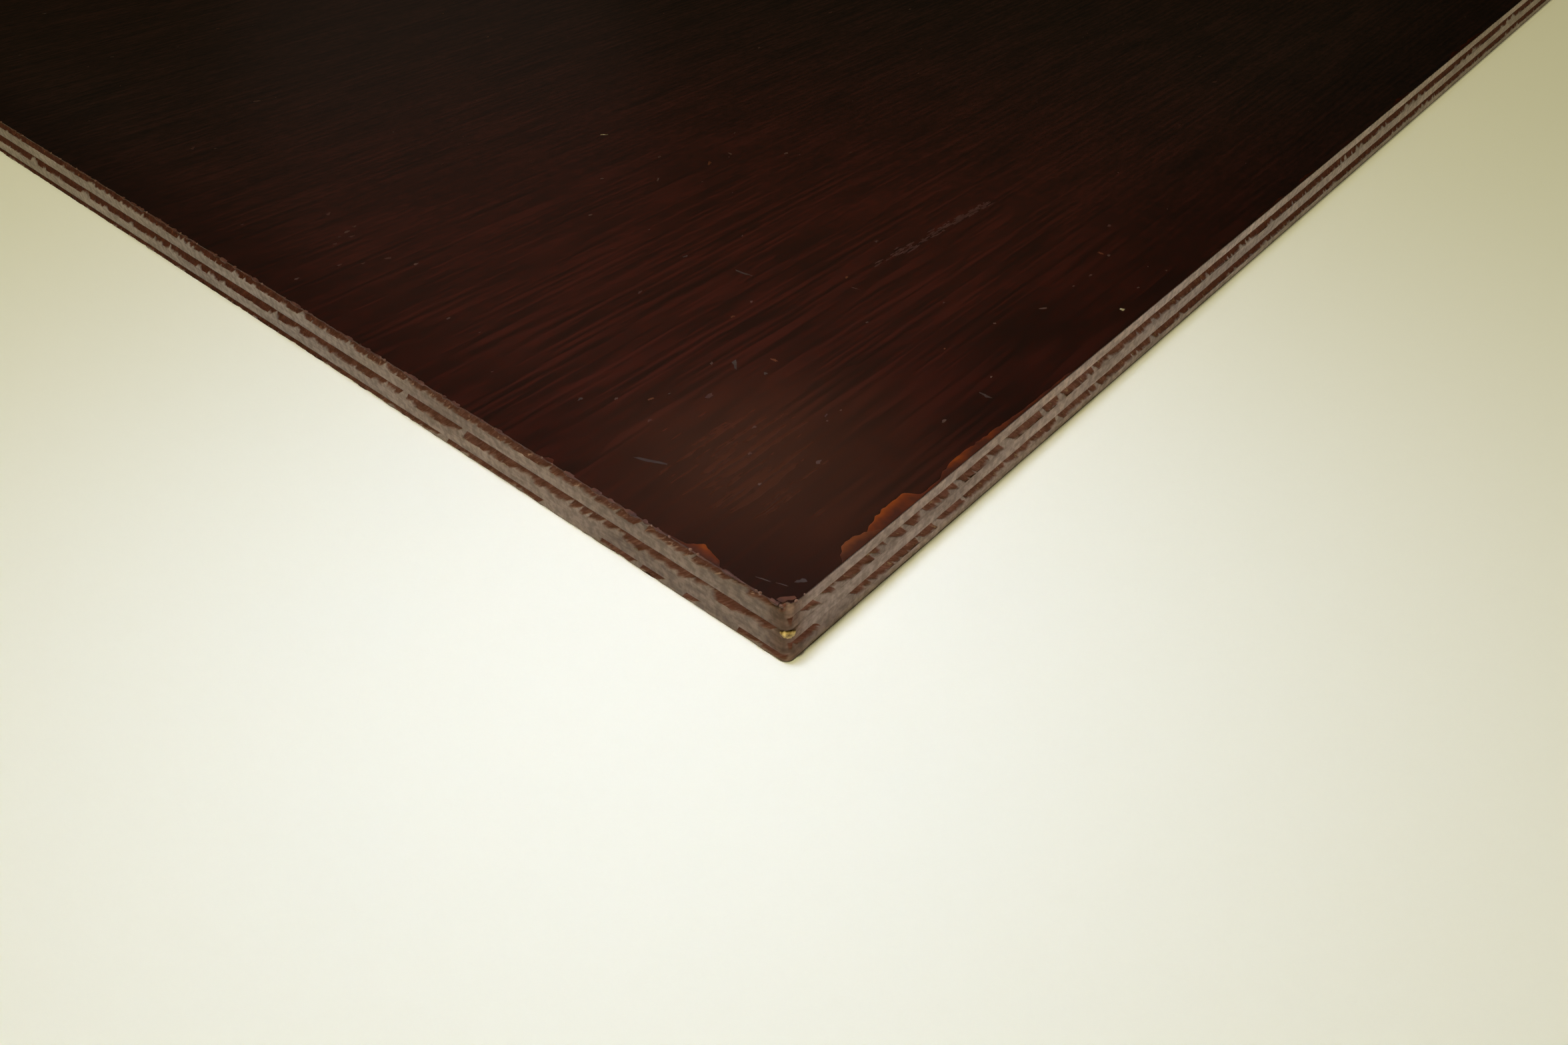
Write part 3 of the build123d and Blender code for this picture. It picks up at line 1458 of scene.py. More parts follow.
@dataclass
class SealerLaps:
    """Edge sealer that ran over the top arris and dried on the film in thin rounded lobes."""

    frame: FilmFrame
    top: float
    thickness: float = 0.045 * MM
    sink: float = 0.004 * MM
    spacing: float = 0.3 * MM
    margin: float = 0.10 * MM
    profile: tuple[float, ...] = (0.0, 0.35, 0.7, 0.92, 1.0)
    # How much the rim wobbles, the size of its wobbles, and the narrowest that a lap gets, in millimetres
    wobble: float = 0.30
    wobble_cell: float = 0.7
    narrowest: float = 0.03
    # Widths at which a lap has its full thickness and its full rim colour
    full_width: float = 0.6 * MM
    rim_width: float = 1.6 * MM
    # How the thickness falls off at the two ends, in millimetres from them
    end_spread: Span = (-0.05, 0.5)
    # A greyed lap dried on top of its neighbour, so it stands this much higher
    greyed_lift: float = 1.4
    laps: tuple[Lap, ...] = (
        Lap(Side.LONG_NEAR, 9.6, 1.1, (0.0, 1.1, 1.7, 1.9, 1.7, 1.3, 0.6, 0.0), True),
        Lap(Side.LONG_NEAR, 13.5, 1.7, (0.0, 1.0, 1.7, 2.0, 2.3, 2.2, 2.3, 0.4)),
        Lap(
            Side.LONG_NEAR, 24.8, 2.0,
            (
                0.3, 0.35, 0.35, 0.9, 1.2, 1.25, 1.1, 1.0, 0.9, 0.8,
                0.65, 0.5, 0.4, 0.35, 0.4, 0.3, 0.35, 0.3, 0.0,
            ),
        ),
        Lap(Side.LONG_NEAR, 102.5, 1.6, (0.0, 0.5, 0.4, 0.0)),
        Lap(Side.LONG_NEAR, 119.0, 2.2, (0.0, 0.4, 0.3, 0.2, 0.4, 0.5, 0.0)),
        Lap(Side.LONG_NEAR, 137.5, 2.1, (0.0, 0.6, 0.7, 0.4, 0.0)),
        Lap(Side.LONG_NEAR, 156.5, 2.4, (0.0, 0.5, 0.5, 0.0)),
        Lap(Side.LONG_NEAR, 183.5, 2.4, (0.0, 0.4, 0.8, 0.5, 0.3, 0.0)),
        Lap(Side.LONG_NEAR, 218.0, 2.9, (0.0, 0.5, 0.9, 0.4, 0.9, 0.7, 0.9, 0.6, 0.4, 0.0)),
        Lap(Side.SHORT_NEAR, 9.9, 1.0, (0.0, 0.9, 1.0, 1.3, 1.7, 0.9, 0.35, 0.25, 0.2, 0.15, 0.0)),
        Lap(Side.SHORT_NEAR, 38.6, 0.7, (0.0, 0.6, 0.5, 0.0)),
    )
    # Laps on the stretches that the photo doesn't show, in millimetres: where they start on the near and on
    # the far edges, how far from the end they stop, and their numbers of widths, widths and steps
    near_start: float = 300.0
    far_start: float = 12.0
    end_margin: float = 60.0
    hidden_counts: tuple[int, int] = (3, 9)
    hidden_widths: Span = (0.3, 1.2)
    hidden_steps: Span = (1.6, 3.2)
    # The least gap from one to the next, and what a short and a long edge add to it on average
    least_gap: float = 6.0
    short_gap: float = 70.0
    long_gap: float = 34.0
    seed: int = 71

    def hidden_laps(self) -> list[Lap]:
        """Lay like laps along the stretches that the photo doesn't show.

        Returns:
            The laps.
        """
        rng = np.random.default_rng(self.seed)
        found = []
        for side in Side:
            reach = self.frame.reach(side) / MM
            place = self.near_start if side.is_near() else self.far_start
            more_gap = self.short_gap if side.is_short() else self.long_gap
            while place < reach - self.end_margin:
                count = int(rng.integers(*self.hidden_counts))
                step = float(rng.uniform(*self.hidden_steps))
                inner = rng.uniform(*self.hidden_widths, count)
                found.append(Lap(side, place, step, (0.0, *inner.tolist(), 0.0)))
                place += count * step + float(rng.exponential(more_gap)) + self.least_gap
        return found

    def build(self, red: bpy.types.Material, greyed: bpy.types.Material) -> bpy.types.Object:
        """Make all the laps as one joined mesh.

        Args:
            red: Material of most laps.
            greyed: Material of the laps that dried with a grey bloom.

        Returns:
            The laps.
        """
        pile = Pile()
        rims: list[np.ndarray] = []
        for lap in (*self.laps, *self.hidden_laps()):
            vertices, rim, faces = self.pad(lap)
            pile.add(vertices, faces, int(lap.greyed))
            rims.append(rim)
        piece = pile.piece("edge_sealer_laps", [red, greyed], 80.0)
        set_field(piece, RIM_FIELD, np.concatenate(rims))
        return piece

    def reach(self, lap: Lap, along: np.ndarray) -> np.ndarray:
        """Work out how far in a lap reaches.

        Args:
            lap: The lap.
            along: Distances from its start, in millimetres.

        Returns:
            The lap's widths there, in metres.
        """
        widths = np.array(lap.widths)
        knots = np.arange(len(widths))
        share = np.interp(along, knots * lap.step, knots)
        index = np.minimum(share.astype(int), len(widths) - 2)
        blend = ease(share - index, 0.0, 1.0)
        reach = widths[index] * (1.0 - blend) + widths[index + 1] * blend
        wobble = Lattice(int(lap.start * 10) + 5, self.wobble_cell * MM).at(along * MM) - 0.5
        return np.maximum(reach + self.wobble * wobble * np.minimum(reach, 1.0), self.narrowest) * MM

    def pad(self, lap: Lap) -> tuple[np.ndarray, np.ndarray, Faces]:
        """Shape one lap as a closed pad, domed over the film.

        Args:
            lap: The lap.

        Returns:
            Its points, the rim field of each point, and its faces.
        """
        length = (len(lap.widths) - 1) * lap.step
        along = np.arange(0.0, length + self.spacing / MM / 2, self.spacing / MM)
        reach = self.reach(lap, along)
        rows = np.array(self.profile)[:, None]
        dome = np.sqrt(np.clip(1.0 - (rows * 2.0 - 1.0) ** 4, 0.0, 1.0))
        ends = ease(np.minimum(along, along[-1] - along), *self.end_spread)[None]
        rise = self.thickness * dome * ends * np.minimum(reach / self.full_width, 1.0)[None]
        if lap.greyed:
            rise = rise * self.greyed_lift
        start = lap.start * MM + along[None] * MM
        depth = self.margin + rows * reach[None]
        upper = self.frame.place(lap.side, start, depth, self.top + rise)
        lower = self.frame.place(lap.side, start, depth, np.full_like(rise, self.top - self.sink))
        vertices = np.concatenate([upper.reshape(-1, 3), lower.reshape(-1, 3)])
        rim = np.tile((rows * np.minimum(reach / self.rim_width, 1.0)[None]).reshape(-1), 2)
        faces = pad_faces(len(rows), len(along))
        return vertices, rim, turned(faces) if self.frame.mirrored(lap.side) else faces


@dataclass
class ArrisBead:
    """Sealer that dried in a lumpy ridge along the top arris of one edge."""

    frame: FilmFrame
    side: Side
    top: float
    seed: int
    thin: float = 0.05 * MM
    thick: float = 0.34 * MM
    inset: float = 0.14 * MM
    drop: float = 0.14 * MM
    # How flat the ridge is, and how rough: its least radius and what chance adds, as shares
    flat: float = 0.8
    rough: tuple[float, float] = (0.8, 0.4)
    # Cells of the lumps, of the patches that have them and of the ripple between
    lump_cell: float = 1.0 * MM
    patch_cell: float = 7.0 * MM
    ripple_cell: float = 0.6 * MM
    lump_spread: Span = (0.30, 1.0)
    patch_spread: Span = (0.10, 0.70)
    # Lumps' height outside the patches, and what the patches add
    patch_levels: tuple[float, float] = (0.35, 0.65)
    ripple_share: float = 0.15
    lump_share: float = 0.85
    sides: int = 8
    end_gap: float = 1.2 * MM
    fine_step: float = 0.3 * MM
    coarse_step: float = 1.1 * MM
    fine_reach: float = 0.3

    def build(self, material: bpy.types.Material) -> bpy.types.Object:
        """Make the ridge.

        Args:
            material: Material of the dried sealer.

        Returns:
            The ridge.
        """
        fine = [self.end_gap]
        if self.side.is_near():
            fine = np.arange(self.end_gap, self.fine_reach, self.fine_step)
        end = self.frame.reach(self.side) - self.end_gap
        along = np.concatenate([fine, np.arange(fine[-1] + self.coarse_step, end, self.coarse_step)])
        lump = ease(Lattice(self.seed, self.lump_cell).at(along), *self.lump_spread)
        bare, more = self.patch_levels
        patch = bare + more * ease(Lattice(self.seed + 1, self.patch_cell).at(along), *self.patch_spread)
        ripple = Lattice(self.seed + 2, self.ripple_cell).at(along)
        swell = self.ripple_share * ripple + self.lump_share * lump * patch
        radius = self.thin + (self.thick - self.thin) * swell
        turn = np.linspace(0.0, FULL_TURN, self.sides, endpoint=False)[None]
        least, chance = self.rough
        rough = least + chance * np.random.default_rng(self.seed).random((len(along), self.sides))
        depth = self.inset + radius[:, None] * rough * np.cos(turn)
        height = self.top - self.drop + self.flat * radius[:, None] * rough * np.sin(turn)
        vertices, faces = prism(self.frame.place(self.side, along[:, None], depth, height))
        if not self.frame.mirrored(self.side):
            faces = turned(faces)
        name = f"arris_bead_{self.side.name.lower()}"
        piece = new_piece(name, vertices, faces, [material], smooth_angle=75.0)
        return piece


@dataclass
class SealerDropsAndGlints:
    """Small pale drops of sealer along the top arris, thickest by the photographed corner, and pale specks
    strewn along it that stand for glints on the arris, a painted highlight.
    """

    frame: FilmFrame
    top: float
    # Places along the long edge and along the short edge, with their sizes, in millimetres
    on_long: tuple[tuple[float, float], ...] = ((1.7, 0.34), (3.1, 0.20))
    on_short: tuple[tuple[float, float], ...] = (
        (0.9, 0.30), (3.9, 0.30), (4.5, 0.22), (13.4, 0.26), (14.6, 0.30),
    )
    # Pale specks strewn along the short edge as painted glints of the arris: how many, between which places
    # and of which sizes, in millimetres
    strewn: int = 60
    glint_places: Span = (16.0, 330.0)
    glint_sizes: Span = (0.12, 0.30)
    # Half a drop's length and breadth, as shares of its size, and how ragged it is
    half_length: float = 0.8
    half_breadth: float = 0.6
    ragged: Span = (0.8, 1.2)
    inset: float = 0.10 * MM
    drop: float = 0.06 * MM
    rows: int = 6
    steps: int = 8
    seed: int = 52

    def build(self, material: bpy.types.Material) -> bpy.types.Object:
        """Make all the drops as one joined mesh.

        Args:
            material: Material of the drops.

        Returns:
            The drops.
        """
        rng = np.random.default_rng(self.seed)
        # Painted glints: pale specks strewn along the short arris
        places = rng.uniform(*self.glint_places, self.strewn)
        sizes = rng.uniform(*self.glint_sizes, self.strewn)
        on_short = (*self.on_short, *zip(places.tolist(), sizes.tolist()))
        pile = Pile()
        for side, drops in ((Side.LONG_NEAR, self.on_long), (Side.SHORT_NEAR, on_short)):
            for along, size in drops:
                vertices, faces = prism(self.rings(side, along, size, rng))
                pile.add(vertices, faces if self.frame.mirrored(side) else turned(faces))
        piece = pile.piece("sealer_drops_and_glints", [material], 80.0)
        return piece

    def rings(self, side: Side, along: float, size: float, rng: np.random.Generator) -> np.ndarray:
        """Shape one drop as a stack of rings, from its start to its end along the edge.

        Args:
            side: Edge that it lies on.
            along: Its place along the edge, in millimetres.
            size: Its size, in millimetres.
            rng: Source of its raggedness.

        Returns:
            Its points, as ring, point, and X, Y and Z.
        """
        tilt = np.linspace(0.0, math.pi, self.rows + 2)[1:-1, None]
        turn = np.linspace(0.0, FULL_TURN, self.steps, endpoint=False)[None]
        ragged = rng.uniform(*self.ragged, (self.rows, self.steps))
        radius = self.half_breadth * size * MM * np.sin(tilt) * ragged
        place = along * MM - self.half_length * size * MM * np.cos(tilt) * np.ones_like(turn)
        depth = self.inset + radius * np.cos(turn)
        height = self.top - self.drop + radius * np.sin(turn)
        return self.frame.place(side, place, depth, height)


@dataclass(frozen=True)
class FilmMark:
    """One small mark on the film, in millimetres from the photographed corner, and degrees.

    Its place is measured along the long edge and along the short edge, and its turn from the long edge.
    """

    kind: MarkKind
    along: float
    across: float
    length: float
    breadth: float
    turn: float = 0.0


@dataclass
class FilmMarks:
    """Specks, scuffs and short scratches, each a thin flake that lies on the film."""

    frame: FilmFrame
    top: float
    points: int = 10
    # Each flake is a hair thicker than the one before, so that no two that overlap share a face
    rise: float = 0.008 * MM
    rise_step: float = 0.0002 * MM
    rise_steps: int = 97
    sink: float = 0.004 * MM
    # Raggedness of a flake's outline: its least radius and what chance adds, as shares of half its size
    ragged: tuple[float, float] = (0.45, 0.9)
    # Areas from the corner that faint specks are strewn over, and how many, with the margin, in millimetres
    strewn: tuple[tuple[float, float, int], ...] = ((300.0, 300.0, 150), (2430.0, 1210.0, 1500))
    margin: float = 6.0
    # Kinds of the faint specks. One that is named twice comes up twice as often
    faint_kinds: tuple[MarkKind, ...] = (MarkKind.SCUFF, MarkKind.SCUFF, MarkKind.BLUE, MarkKind.PINK)
    # Their least length, what chance adds on average, and the greatest length and breadth, in millimetres
    faint_least: float = 0.25
    faint_more: float = 0.30
    faint_limits: tuple[float, float] = (2.0, 0.6)
    faint_turns: Span = (-40.0, 40.0)
    # Start and end of the long scuff along the sheet, its place across and its spread, in millimetres
    scuff: Triple = (64.0, 96.0, 39.0)
    scuff_spread: float = 0.42
    scuff_slope: float = -0.04
    # Strokes of the scuff: how many, how they crowd towards its far end, and their sizes in millimetres
    scuff_strokes: int = 95
    scuff_crowding: float = 0.7
    stroke_lengths: Span = (0.8, 2.8)
    stroke_breadths: Span = (0.20, 0.45)
    seed: int = 33
    marks: tuple[FilmMark, ...] = (
        FilmMark(MarkKind.BLUE, 8.6, 29.7, 4.0, 0.65, -66.0),
        FilmMark(MarkKind.PINK, 29.3, 39.3, 0.7, 0.45, 20.0),
        FilmMark(MarkKind.BLUE, 31.3, 36.7, 2.6, 0.8, 50.0),
        FilmMark(MarkKind.BLUE, 32.3, 31.9, 0.8, 0.6),
        FilmMark(MarkKind.PINK, 14.8, 43.1, 0.6, 0.4),
        FilmMark(MarkKind.SCUFF, 14.2, 36.1, 0.7, 0.5),
        FilmMark(MarkKind.SCUFF, 23.5, 34.1, 1.4, 0.9, 15.0),
        FilmMark(MarkKind.PINK, 29.3, 18.5, 0.45, 0.3),
        FilmMark(MarkKind.PINK, 32.3, 18.6, 0.4, 0.3),
        FilmMark(MarkKind.PINK, 22.0, 13.8, 0.85, 0.6),
        FilmMark(MarkKind.PINK, 13.9, 16.5, 0.5, 0.4),
        FilmMark(MarkKind.SCUFF, 22.1, 24.8, 0.8, 0.5),
        FilmMark(MarkKind.SCUFF, 17.6, 21.5, 0.7, 0.5),
        FilmMark(MarkKind.BLUE, 11.6, 46.7, 0.7, 0.5),
        FilmMark(MarkKind.PINK, 19.3, 94.7, 0.8, 0.5),
        FilmMark(MarkKind.PINK, 12.6, 77.2, 0.7, 0.5),
        FilmMark(MarkKind.PINK, 72.6, 43.8, 0.8, 0.6),
        FilmMark(MarkKind.PINK, 58.5, 37.0, 1.8, 0.12, -80.0),
        FilmMark(MarkKind.BLUE, 50.9, 53.0, 3.6, 0.50, -85.0),
        FilmMark(MarkKind.PINK, 65.9, 87.8, 1.4, 0.4, 35.0),
        FilmMark(MarkKind.PINK, 82.3, 85.5, 1.7, 0.4, 80.0),
        FilmMark(MarkKind.PINK, 89.2, 77.7, 0.8, 0.6),
        FilmMark(MarkKind.PINK, 48.8, 86.5, 0.8, 0.6),
        FilmMark(MarkKind.ORANGE, 76.9, 85.6, 1.5, 0.8, 40.0),
        FilmMark(MarkKind.ORANGE, 40.3, 45.6, 0.8, 0.5),
        FilmMark(MarkKind.PINK, 45.3, 46.4, 0.8, 0.6),
        FilmMark(MarkKind.ORANGE, 35.6, 33.2, 0.5, 1.4),
        FilmMark(MarkKind.ORANGE, 17.8, 39.5, 0.8, 0.6),
        FilmMark(MarkKind.ORANGE, 60.2, 40.1, 0.7, 0.4),
        FilmMark(MarkKind.ORANGE, 53.4, 16.8, 0.6, 0.4),
        FilmMark(MarkKind.PINK, 51.9, 29.5, 0.5, 0.4),
        FilmMark(MarkKind.PINK, 63.7, 15.2, 0.5, 0.4),
        FilmMark(MarkKind.PINK, 72.1, 12.0, 1.3, 0.45, -38.0),
        FilmMark(MarkKind.PINK, 92.8, 12.7, 0.8, 0.5),
        FilmMark(MarkKind.ORANGE, 92.6, 14.1, 1.0, 0.5, 80.0),
        FilmMark(MarkKind.PALE, 79.2, 3.0, 0.8, 0.55),
        FilmMark(MarkKind.SCUFF, 102.1, 17.7, 1.2, 0.6),
        FilmMark(MarkKind.BLUE, 47.5, 6.1, 2.0, 0.65, 82.0),
        FilmMark(MarkKind.PINK, 94.3, 3.5, 0.5, 0.3),
        FilmMark(MarkKind.PINK, 86.6, 4.3, 0.5, 0.35),
        FilmMark(MarkKind.SCUFF, 85.3, 11.7, 0.7, 0.4),
        FilmMark(MarkKind.PINK, 80.6, 12.0, 0.4, 0.3),
        FilmMark(MarkKind.PINK, 51.7, 7.9, 0.5, 0.3),
        FilmMark(MarkKind.PALE, 73.1, 110.1, 1.7, 0.35, -49.0),
        FilmMark(MarkKind.PINK, 59.7, 95.7, 0.8, 0.6),
        FilmMark(MarkKind.PINK, 18.4, 112.7, 1.0, 0.5),
        FilmMark(MarkKind.SCUFF, 18.0, 110.7, 1.0, 0.6),
        FilmMark(MarkKind.PINK, 20.2, 113.4, 0.7, 0.4),
        FilmMark(MarkKind.SCUFF, 16.6, 112.2, 0.8, 0.5),
        FilmMark(MarkKind.SCUFF, 14.7, 110.4, 0.9, 0.5),
        FilmMark(MarkKind.PINK, 4.4, 104.9, 0.9, 0.5),
        FilmMark(MarkKind.SCUFF, 11.2, 103.7, 0.8, 0.5),
        FilmMark(MarkKind.BLUE, 4.4, 1.7, 1.2, 0.8, -35.0),
        FilmMark(MarkKind.BLUE, 1.9, 5.0, 2.0, 0.14, -75.0),
        FilmMark(MarkKind.BLUE, 2.6, 3.0, 1.6, 0.14, -70.0),
        FilmMark(MarkKind.ORANGE, 1.25, 1.15, 1.9, 1.0, -45.0),
    )

    def faint_marks(self) -> list[FilmMark]:
        """Strew faint specks over the film and draw one long scuff of fine strokes.

        Returns:
            The specks and the strokes.
        """
        rng = np.random.default_rng(self.seed)
        longest, broadest = self.faint_limits
        found = []
        for along, across, count in self.strewn:
            room = np.array((along, across)) - 2.0 * self.margin
            for _ in range(count):
                kind = self.faint_kinds[int(rng.integers(len(self.faint_kinds)))]
                length = float(self.faint_least + rng.exponential(self.faint_more))
                place = self.margin + rng.random(2) * room
                turn = float(rng.uniform(*self.faint_turns))
                size = (min(length, longest), min(0.5 * length, broadest))
                found.append(FilmMark(kind, *place.tolist(), *size, turn))
        start, end, across_mid = self.scuff
        for _ in range(self.scuff_strokes):
            along = start + (end - start) * float(rng.random() ** self.scuff_crowding)
            aside = float(rng.normal(0.0, self.scuff_spread))
            across = across_mid + self.scuff_slope * (along - start) + aside
            length = float(rng.uniform(*self.stroke_lengths))
            breadth = float(rng.uniform(*self.stroke_breadths))
            found.append(FilmMark(MarkKind.SCUFF, along, across, length, breadth))
        return found

    def build(self) -> bpy.types.Object:
        """Make all the marks as one joined mesh.

        Returns:
            The marks.
        """
        kinds = list(MarkKind)
        pile = Pile()
        for number, mark in enumerate((*self.marks, *self.faint_marks())):
            pile.add(*prism(self.flake(mark, number)), kinds.index(mark.kind))
        piece = pile.piece("film_marks", [kind.value.build() for kind in kinds], 30.0)
        return piece

    def flake(self, mark: FilmMark, seed: int) -> np.ndarray:
        """Outline one mark.

        Args:
            mark: The mark.
            seed: Number that picks how ragged it is.

        Returns:
            Its lower and its upper ring of points.
        """
        angle = np.linspace(0.0, FULL_TURN, self.points, endpoint=False)
        least, chance = self.ragged
        ragged = 0.5 * (least + chance * np.random.default_rng(seed).random(self.points))
        turn = math.radians(mark.turn)
        ahead = mark.length * ragged * np.cos(angle)
        aside = mark.breadth * ragged * np.sin(angle)
        along = mark.along + ahead * math.cos(turn) - aside * math.sin(turn)
        across = mark.across + ahead * math.sin(turn) + aside * math.cos(turn)
        rise = self.rise + seed % self.rise_steps * self.rise_step
        heights = np.array([self.top - self.sink, self.top + rise])[:, None]
        return self.frame.place(Side.LONG_NEAR, along[None] * MM, across[None] * MM, heights)


@dataclass(frozen=True)
class SoftBox:
    """A round soft box, placed and aimed in metres from the photographed corner."""

    name: str
    offset: Triple
    aim: Triple
    diameter: float
    # Power in watts
    power: float
    colour: Colour
    # Whether gloss shows it
    glossy: bool = True

    def hang(self, corner: Vector) -> None:
        """Hang the box.

        Args:
            corner: The top of the photographed corner.
        """
        data = bpy.data.lights.new(self.name, "AREA")
        data.shape = "DISK"
        data.size = self.diameter
        data.energy = self.power
        data.color = self.colour
        light = bpy.data.objects.new(self.name, data)
        place = corner + Vector(self.offset)
        light.location = place
        light.rotation_euler = (corner + Vector(self.aim) - place).to_track_quat("-Z", "Y").to_euler()
        light.visible_camera = False
        light.visible_glossy = self.glossy
        bpy.context.scene.collection.objects.link(light)


@dataclass
class Studio:
    """The floor, the light and the camera."""

    corner: Vector
    # Camera, measured from the top of the photographed corner, in millimetres and degrees
    camera_offset: Triple = (-63.9, -56.1, 87.2)
    heading: float = 41.42
    pitch: float = -41.30
    roll: float = -0.49
    lens: float = 25.96
    sensor_width: float = 36.0
    # Nearest and farthest distance that the camera sees, in metres
    clip: Span = (0.005, 100.0)
    world: Colour = (0.10, 0.08, 0.045)
    floor_colour: Colour = (0.85, 0.85, 0.85)
    floor_reach: float = 14.0
    # A cool lamp close over the corner, a faint warm gleam low beyond the sheet's far side, and a warm box
    # high up, outside the short edge
    boxes: tuple[SoftBox, ...] = (
        SoftBox("key_lamp", (-0.004, 0.018, 0.140), (-0.004, 0.018, 0.0), 0.03, 0.121, (1.0, 1.08, 1.32)),
        SoftBox("gleam", (1.06, 1.72, 0.70), (0.06, 0.14, 0.0), 0.70, 0.042, (1.0, 0.67, 0.56)),
        SoftBox("warm_box", (-0.75, 0.05, 2.2), (0.0, 0.0, 0.0), 0.20, 28.5, (1.0, 0.95, 0.50), False),
    )

    def build(self) -> None:
        """Set the stage."""
        self.add_floor()
        self.add_world()
        for box in self.boxes:
            box.hang(self.corner)
        self.add_camera()

    def add_floor(self) -> None:
        """Lay a plain pale floor."""
        settings = {"Base Color": (*self.floor_colour, 1.0), "Roughness": 0.6, "Specular IOR Level": 0.2}
        material, _, _ = new_material("pale_floor", settings)
        signs = np.array([(-1.0, -1.0, 0.0), (1.0, -1.0, 0.0), (1.0, 1.0, 0.0), (-1.0, 1.0, 0.0)])
        new_piece("floor", signs * self.floor_reach, [(0, 1, 2, 3)], [material])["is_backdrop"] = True

    def add_world(self) -> None:
        """Light the scene evenly and warmly, without a bright sky in the film's gloss."""
        world = bpy.data.worlds.new("studio_world")
        world.use_nodes = True
        sketch = Sketch(world.node_tree)
        background = sketch.add("ShaderNodeBackground", {"Color": (*self.world, 1.0), "Strength": 1.0})
        sketch.add("ShaderNodeOutputWorld", {"Surface": background.outputs[0]})
        bpy.context.scene.world = world
        world.cycles_visibility.glossy = False

    def add_camera(self) -> None:
        """Set the camera at the photograph's viewing angle."""
        data = bpy.data.cameras.new("photo_camera")
        data.sensor_fit = "HORIZONTAL"
        data.sensor_width = self.sensor_width
        data.lens = self.lens
        data.clip_start, data.clip_end = self.clip
        heading, pitch, roll = (math.radians(angle) for angle in (self.heading, self.pitch, self.roll))
        ahead = (math.cos(pitch) * math.cos(heading), math.cos(pitch) * math.sin(heading), math.sin(pitch))
        forward = Vector(ahead)
        level = forward.cross(Vector((0.0, 0.0, 1.0))).normalized()
        upright = level.cross(forward)
        right = level * math.cos(roll) + upright * math.sin(roll)
        turn = Matrix((right, right.cross(forward), -forward)).transposed().to_4x4()
        camera = bpy.data.objects.new("photo_camera", data)
        camera.matrix_world = Matrix.Translation(self.corner + Vector(self.camera_offset) * MM) @ turn
        bpy.context.scene.collection.objects.link(camera)
        bpy.context.scene.camera = camera


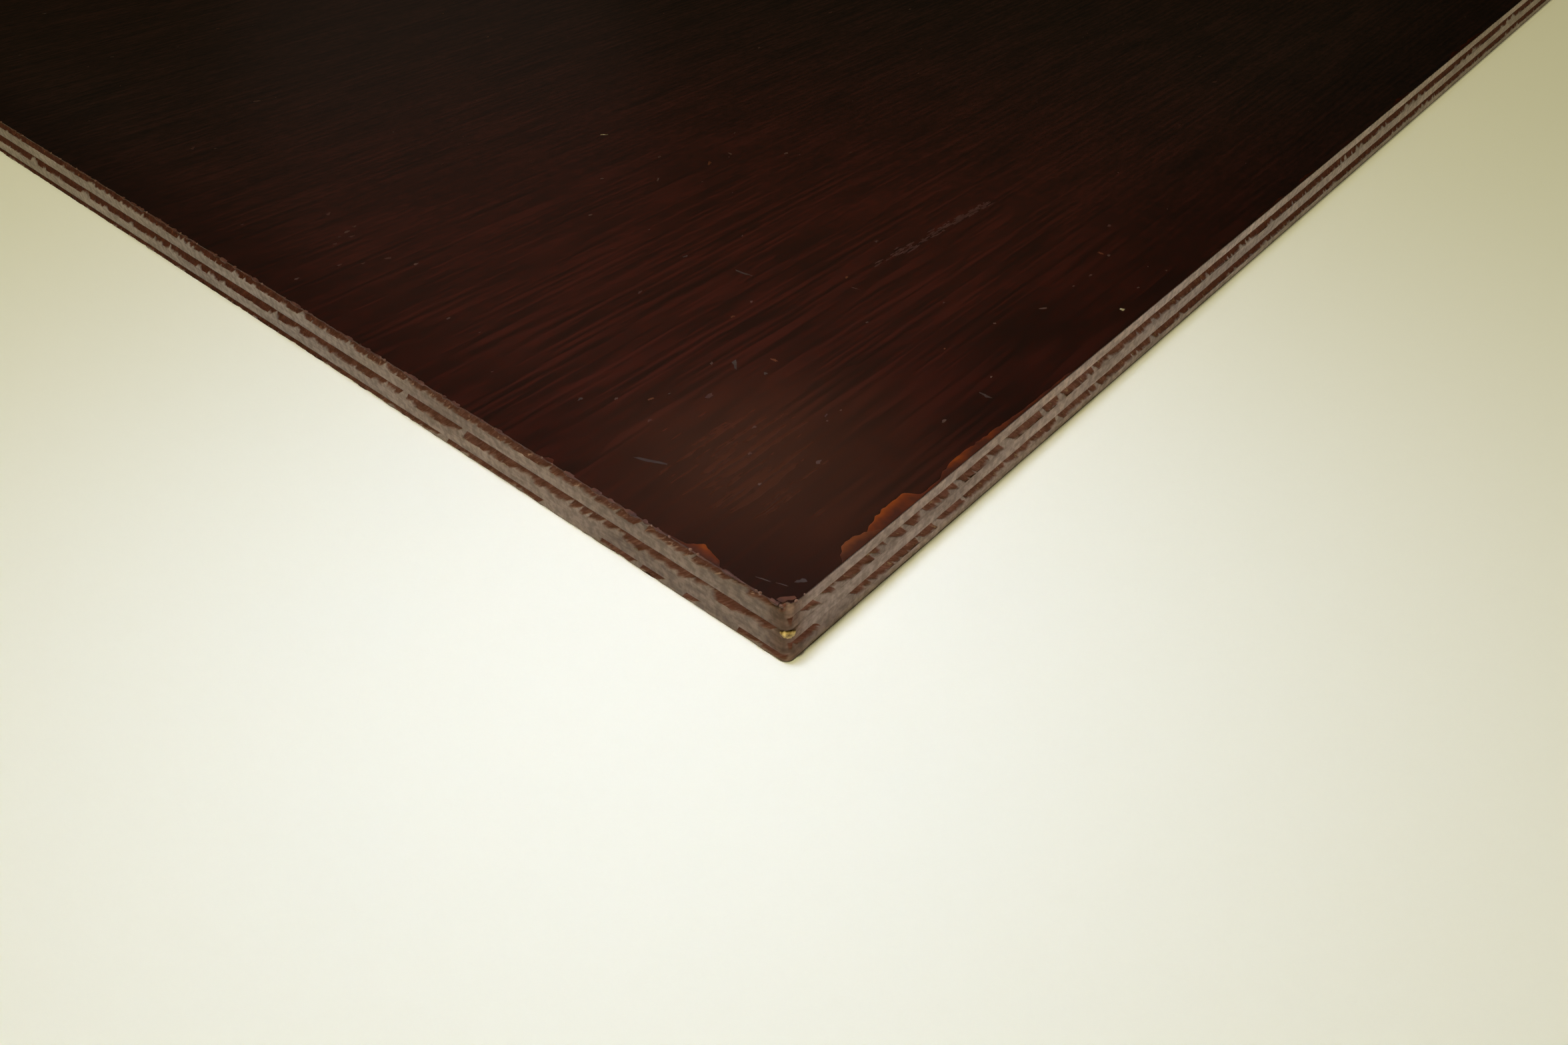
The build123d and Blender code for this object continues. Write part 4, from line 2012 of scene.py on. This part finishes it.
@dataclass
class PlywoodSheet:
    """The whole sheet: seven layers and the sealer that ran over its arrises."""

    low: Vector
    high: Vector
    pieces: list[bpy.types.Object] = field(default_factory=list)

    def build(self) -> None:
        """Make and dress every piece, and let it ride on the sheet's body."""
        size = self.high - self.low
        outline = SheetOutline(size.x, size.y)
        columns = outline.columns()
        corner = outline.corner()
        film = FilmFinish().build(corner)
        film_edge = FILM_EDGE.build()
        for ply in self.plies(corner):
            phase = PHASE_STEP * ply.seed
            finish = PlyEdgeFinish(f"{ply.node}_edge", phase, ply.tone, ply.glint, PALE_FIBRES[ply.grain])
            self.add(ply.build(outline, columns, finish.build(corner)))
        self.add(FilmSheet("film_bottom", 21).build(outline, columns, film, film_edge))
        self.add(FilmSheet("film_top", 23).build(outline, columns, film, film_edge))
        frame = FilmFrame(size.x, size.y)
        top = self.high.z
        bead = SEALER_BEAD.build()
        self.add(SealerLaps(frame, top).build(RED_LAP.build(corner), GREY_LAP.build(corner)))
        self.add(ArrisBead(frame, Side.SHORT_NEAR, top, 41).build(bead))
        self.add(ArrisBead(frame, Side.SHORT_FAR, top, 45).build(bead))
        self.add(SealerDropsAndGlints(frame, top).build(SEALER_DROP_AND_GLINT.build()))
        self.add(BareSplinter(corner, outline.corner_radius).build(BARE_WOOD.build()))
        self.add(FilmMarks(frame, top).build())

    def plies(self, corner: Vector) -> tuple[Ply, ...]:
        """List the plies from the underside up.

        Args:
            corner: The photographed corner.

        Returns:
            The plies.
        """
        back = closed(Side.SHORT_NEAR, (7.6, 14.4), (16.1, 20.3), (23.6, 25.2), (31.2, 42.8), (62.9, 65.4))
        lower = closed(
            Side.LONG_NEAR,
            (-2.0, 1.8), (5.6, 12.2), (24.6, 25.3), (28.1, 29.8), (34.6, 35.4), (57.6, 58.5),
        )
        core = closed(Side.SHORT_NEAR, (-2.0, 2.6), (58.0, 59.4), (71.5, 73.0))
        upper = closed(
            Side.LONG_NEAR,
            (-2.0, 3.4), (5.3, 7.1), (15.1, 15.6), (18.0, 19.2), (21.4, 22.4), (25.2, 25.9),
            (32.3, 33.5), (39.5, 40.3), (42.7, 45.0), (52.6, 53.4), (57.2, 58.4), (66.4, 67.2),
        )
        face = closed(Side.SHORT_NEAR, (21.8, 23.4))
        crosswise = {"tongue": 0.80, "tongue_width": 1.4, "glint": 0.3, "wavy": 0.40}
        # Each ply's tone raises the coat on its long edges as painted light
        return (
            Ply("back_veneer", Grain.LENGTHWISE, 11, -0.05, back, tone=1.62, tongue=0.7, tongue_width=1.6),
            Ply("crossband_lower", Grain.CROSSWISE, 12, 0.06, lower, tone=1.45, **crosswise),
            Ply(
                "core_veneer", Grain.LENGTHWISE, 13, 0.12, core, tone=1.68, tongue=0.75, tongue_width=1.9,
                chip=CornerChip(corner), wavy=0.60, far_drop=0.22,
            ),
            Ply("crossband_upper", Grain.CROSSWISE, 14, 0.04, upper, tone=1.42, **crosswise),
            Ply(
                "face_veneer", Grain.LENGTHWISE, 15, 0.05, face, tone=1.98, tongue=0.80, tongue_width=1.8,
                glint=0.6, wavy=0.60, far_drop=0.24, tip_wear=0.45 * MM,
            ),
        )

    def add(self, piece: bpy.types.Object) -> None:
        """Let a piece ride on the sheet and report it.

        Args:
            piece: The piece.
        """
        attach(piece, BODY)
        self.pieces.append(piece)
        LOG.info("%s: %d faces", piece.name, len(piece.data.polygons))


def plain_box(bounds: object) -> list[list[float]]:
    """Turn a box into plain numbers.

    Args:
        bounds: The lowest and the highest corner.

    Returns:
        The same as lists.
    """
    return [[float(number) for number in corner] for corner in bounds]


def main() -> None:
    """Load the frame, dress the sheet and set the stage."""
    logging.basicConfig(level=logging.INFO, format="%(name)s: %(message)s")
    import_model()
    cad_box = plain_box(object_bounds())
    sheet = PlywoodSheet(Vector(cad_box[0]), Vector(cad_box[1]))
    sheet.build()
    Studio(Vector((cad_box[0][0], cad_box[0][1], cad_box[1][2]))).build()
    bpy.context.scene.view_settings.view_transform = "Standard"
    bpy.context.scene.cycles.max_bounces = LIGHT_BOUNCES
    LOG.info("dressed %d pieces", len(sheet.pieces))


if __name__ == "__main__":
    main()
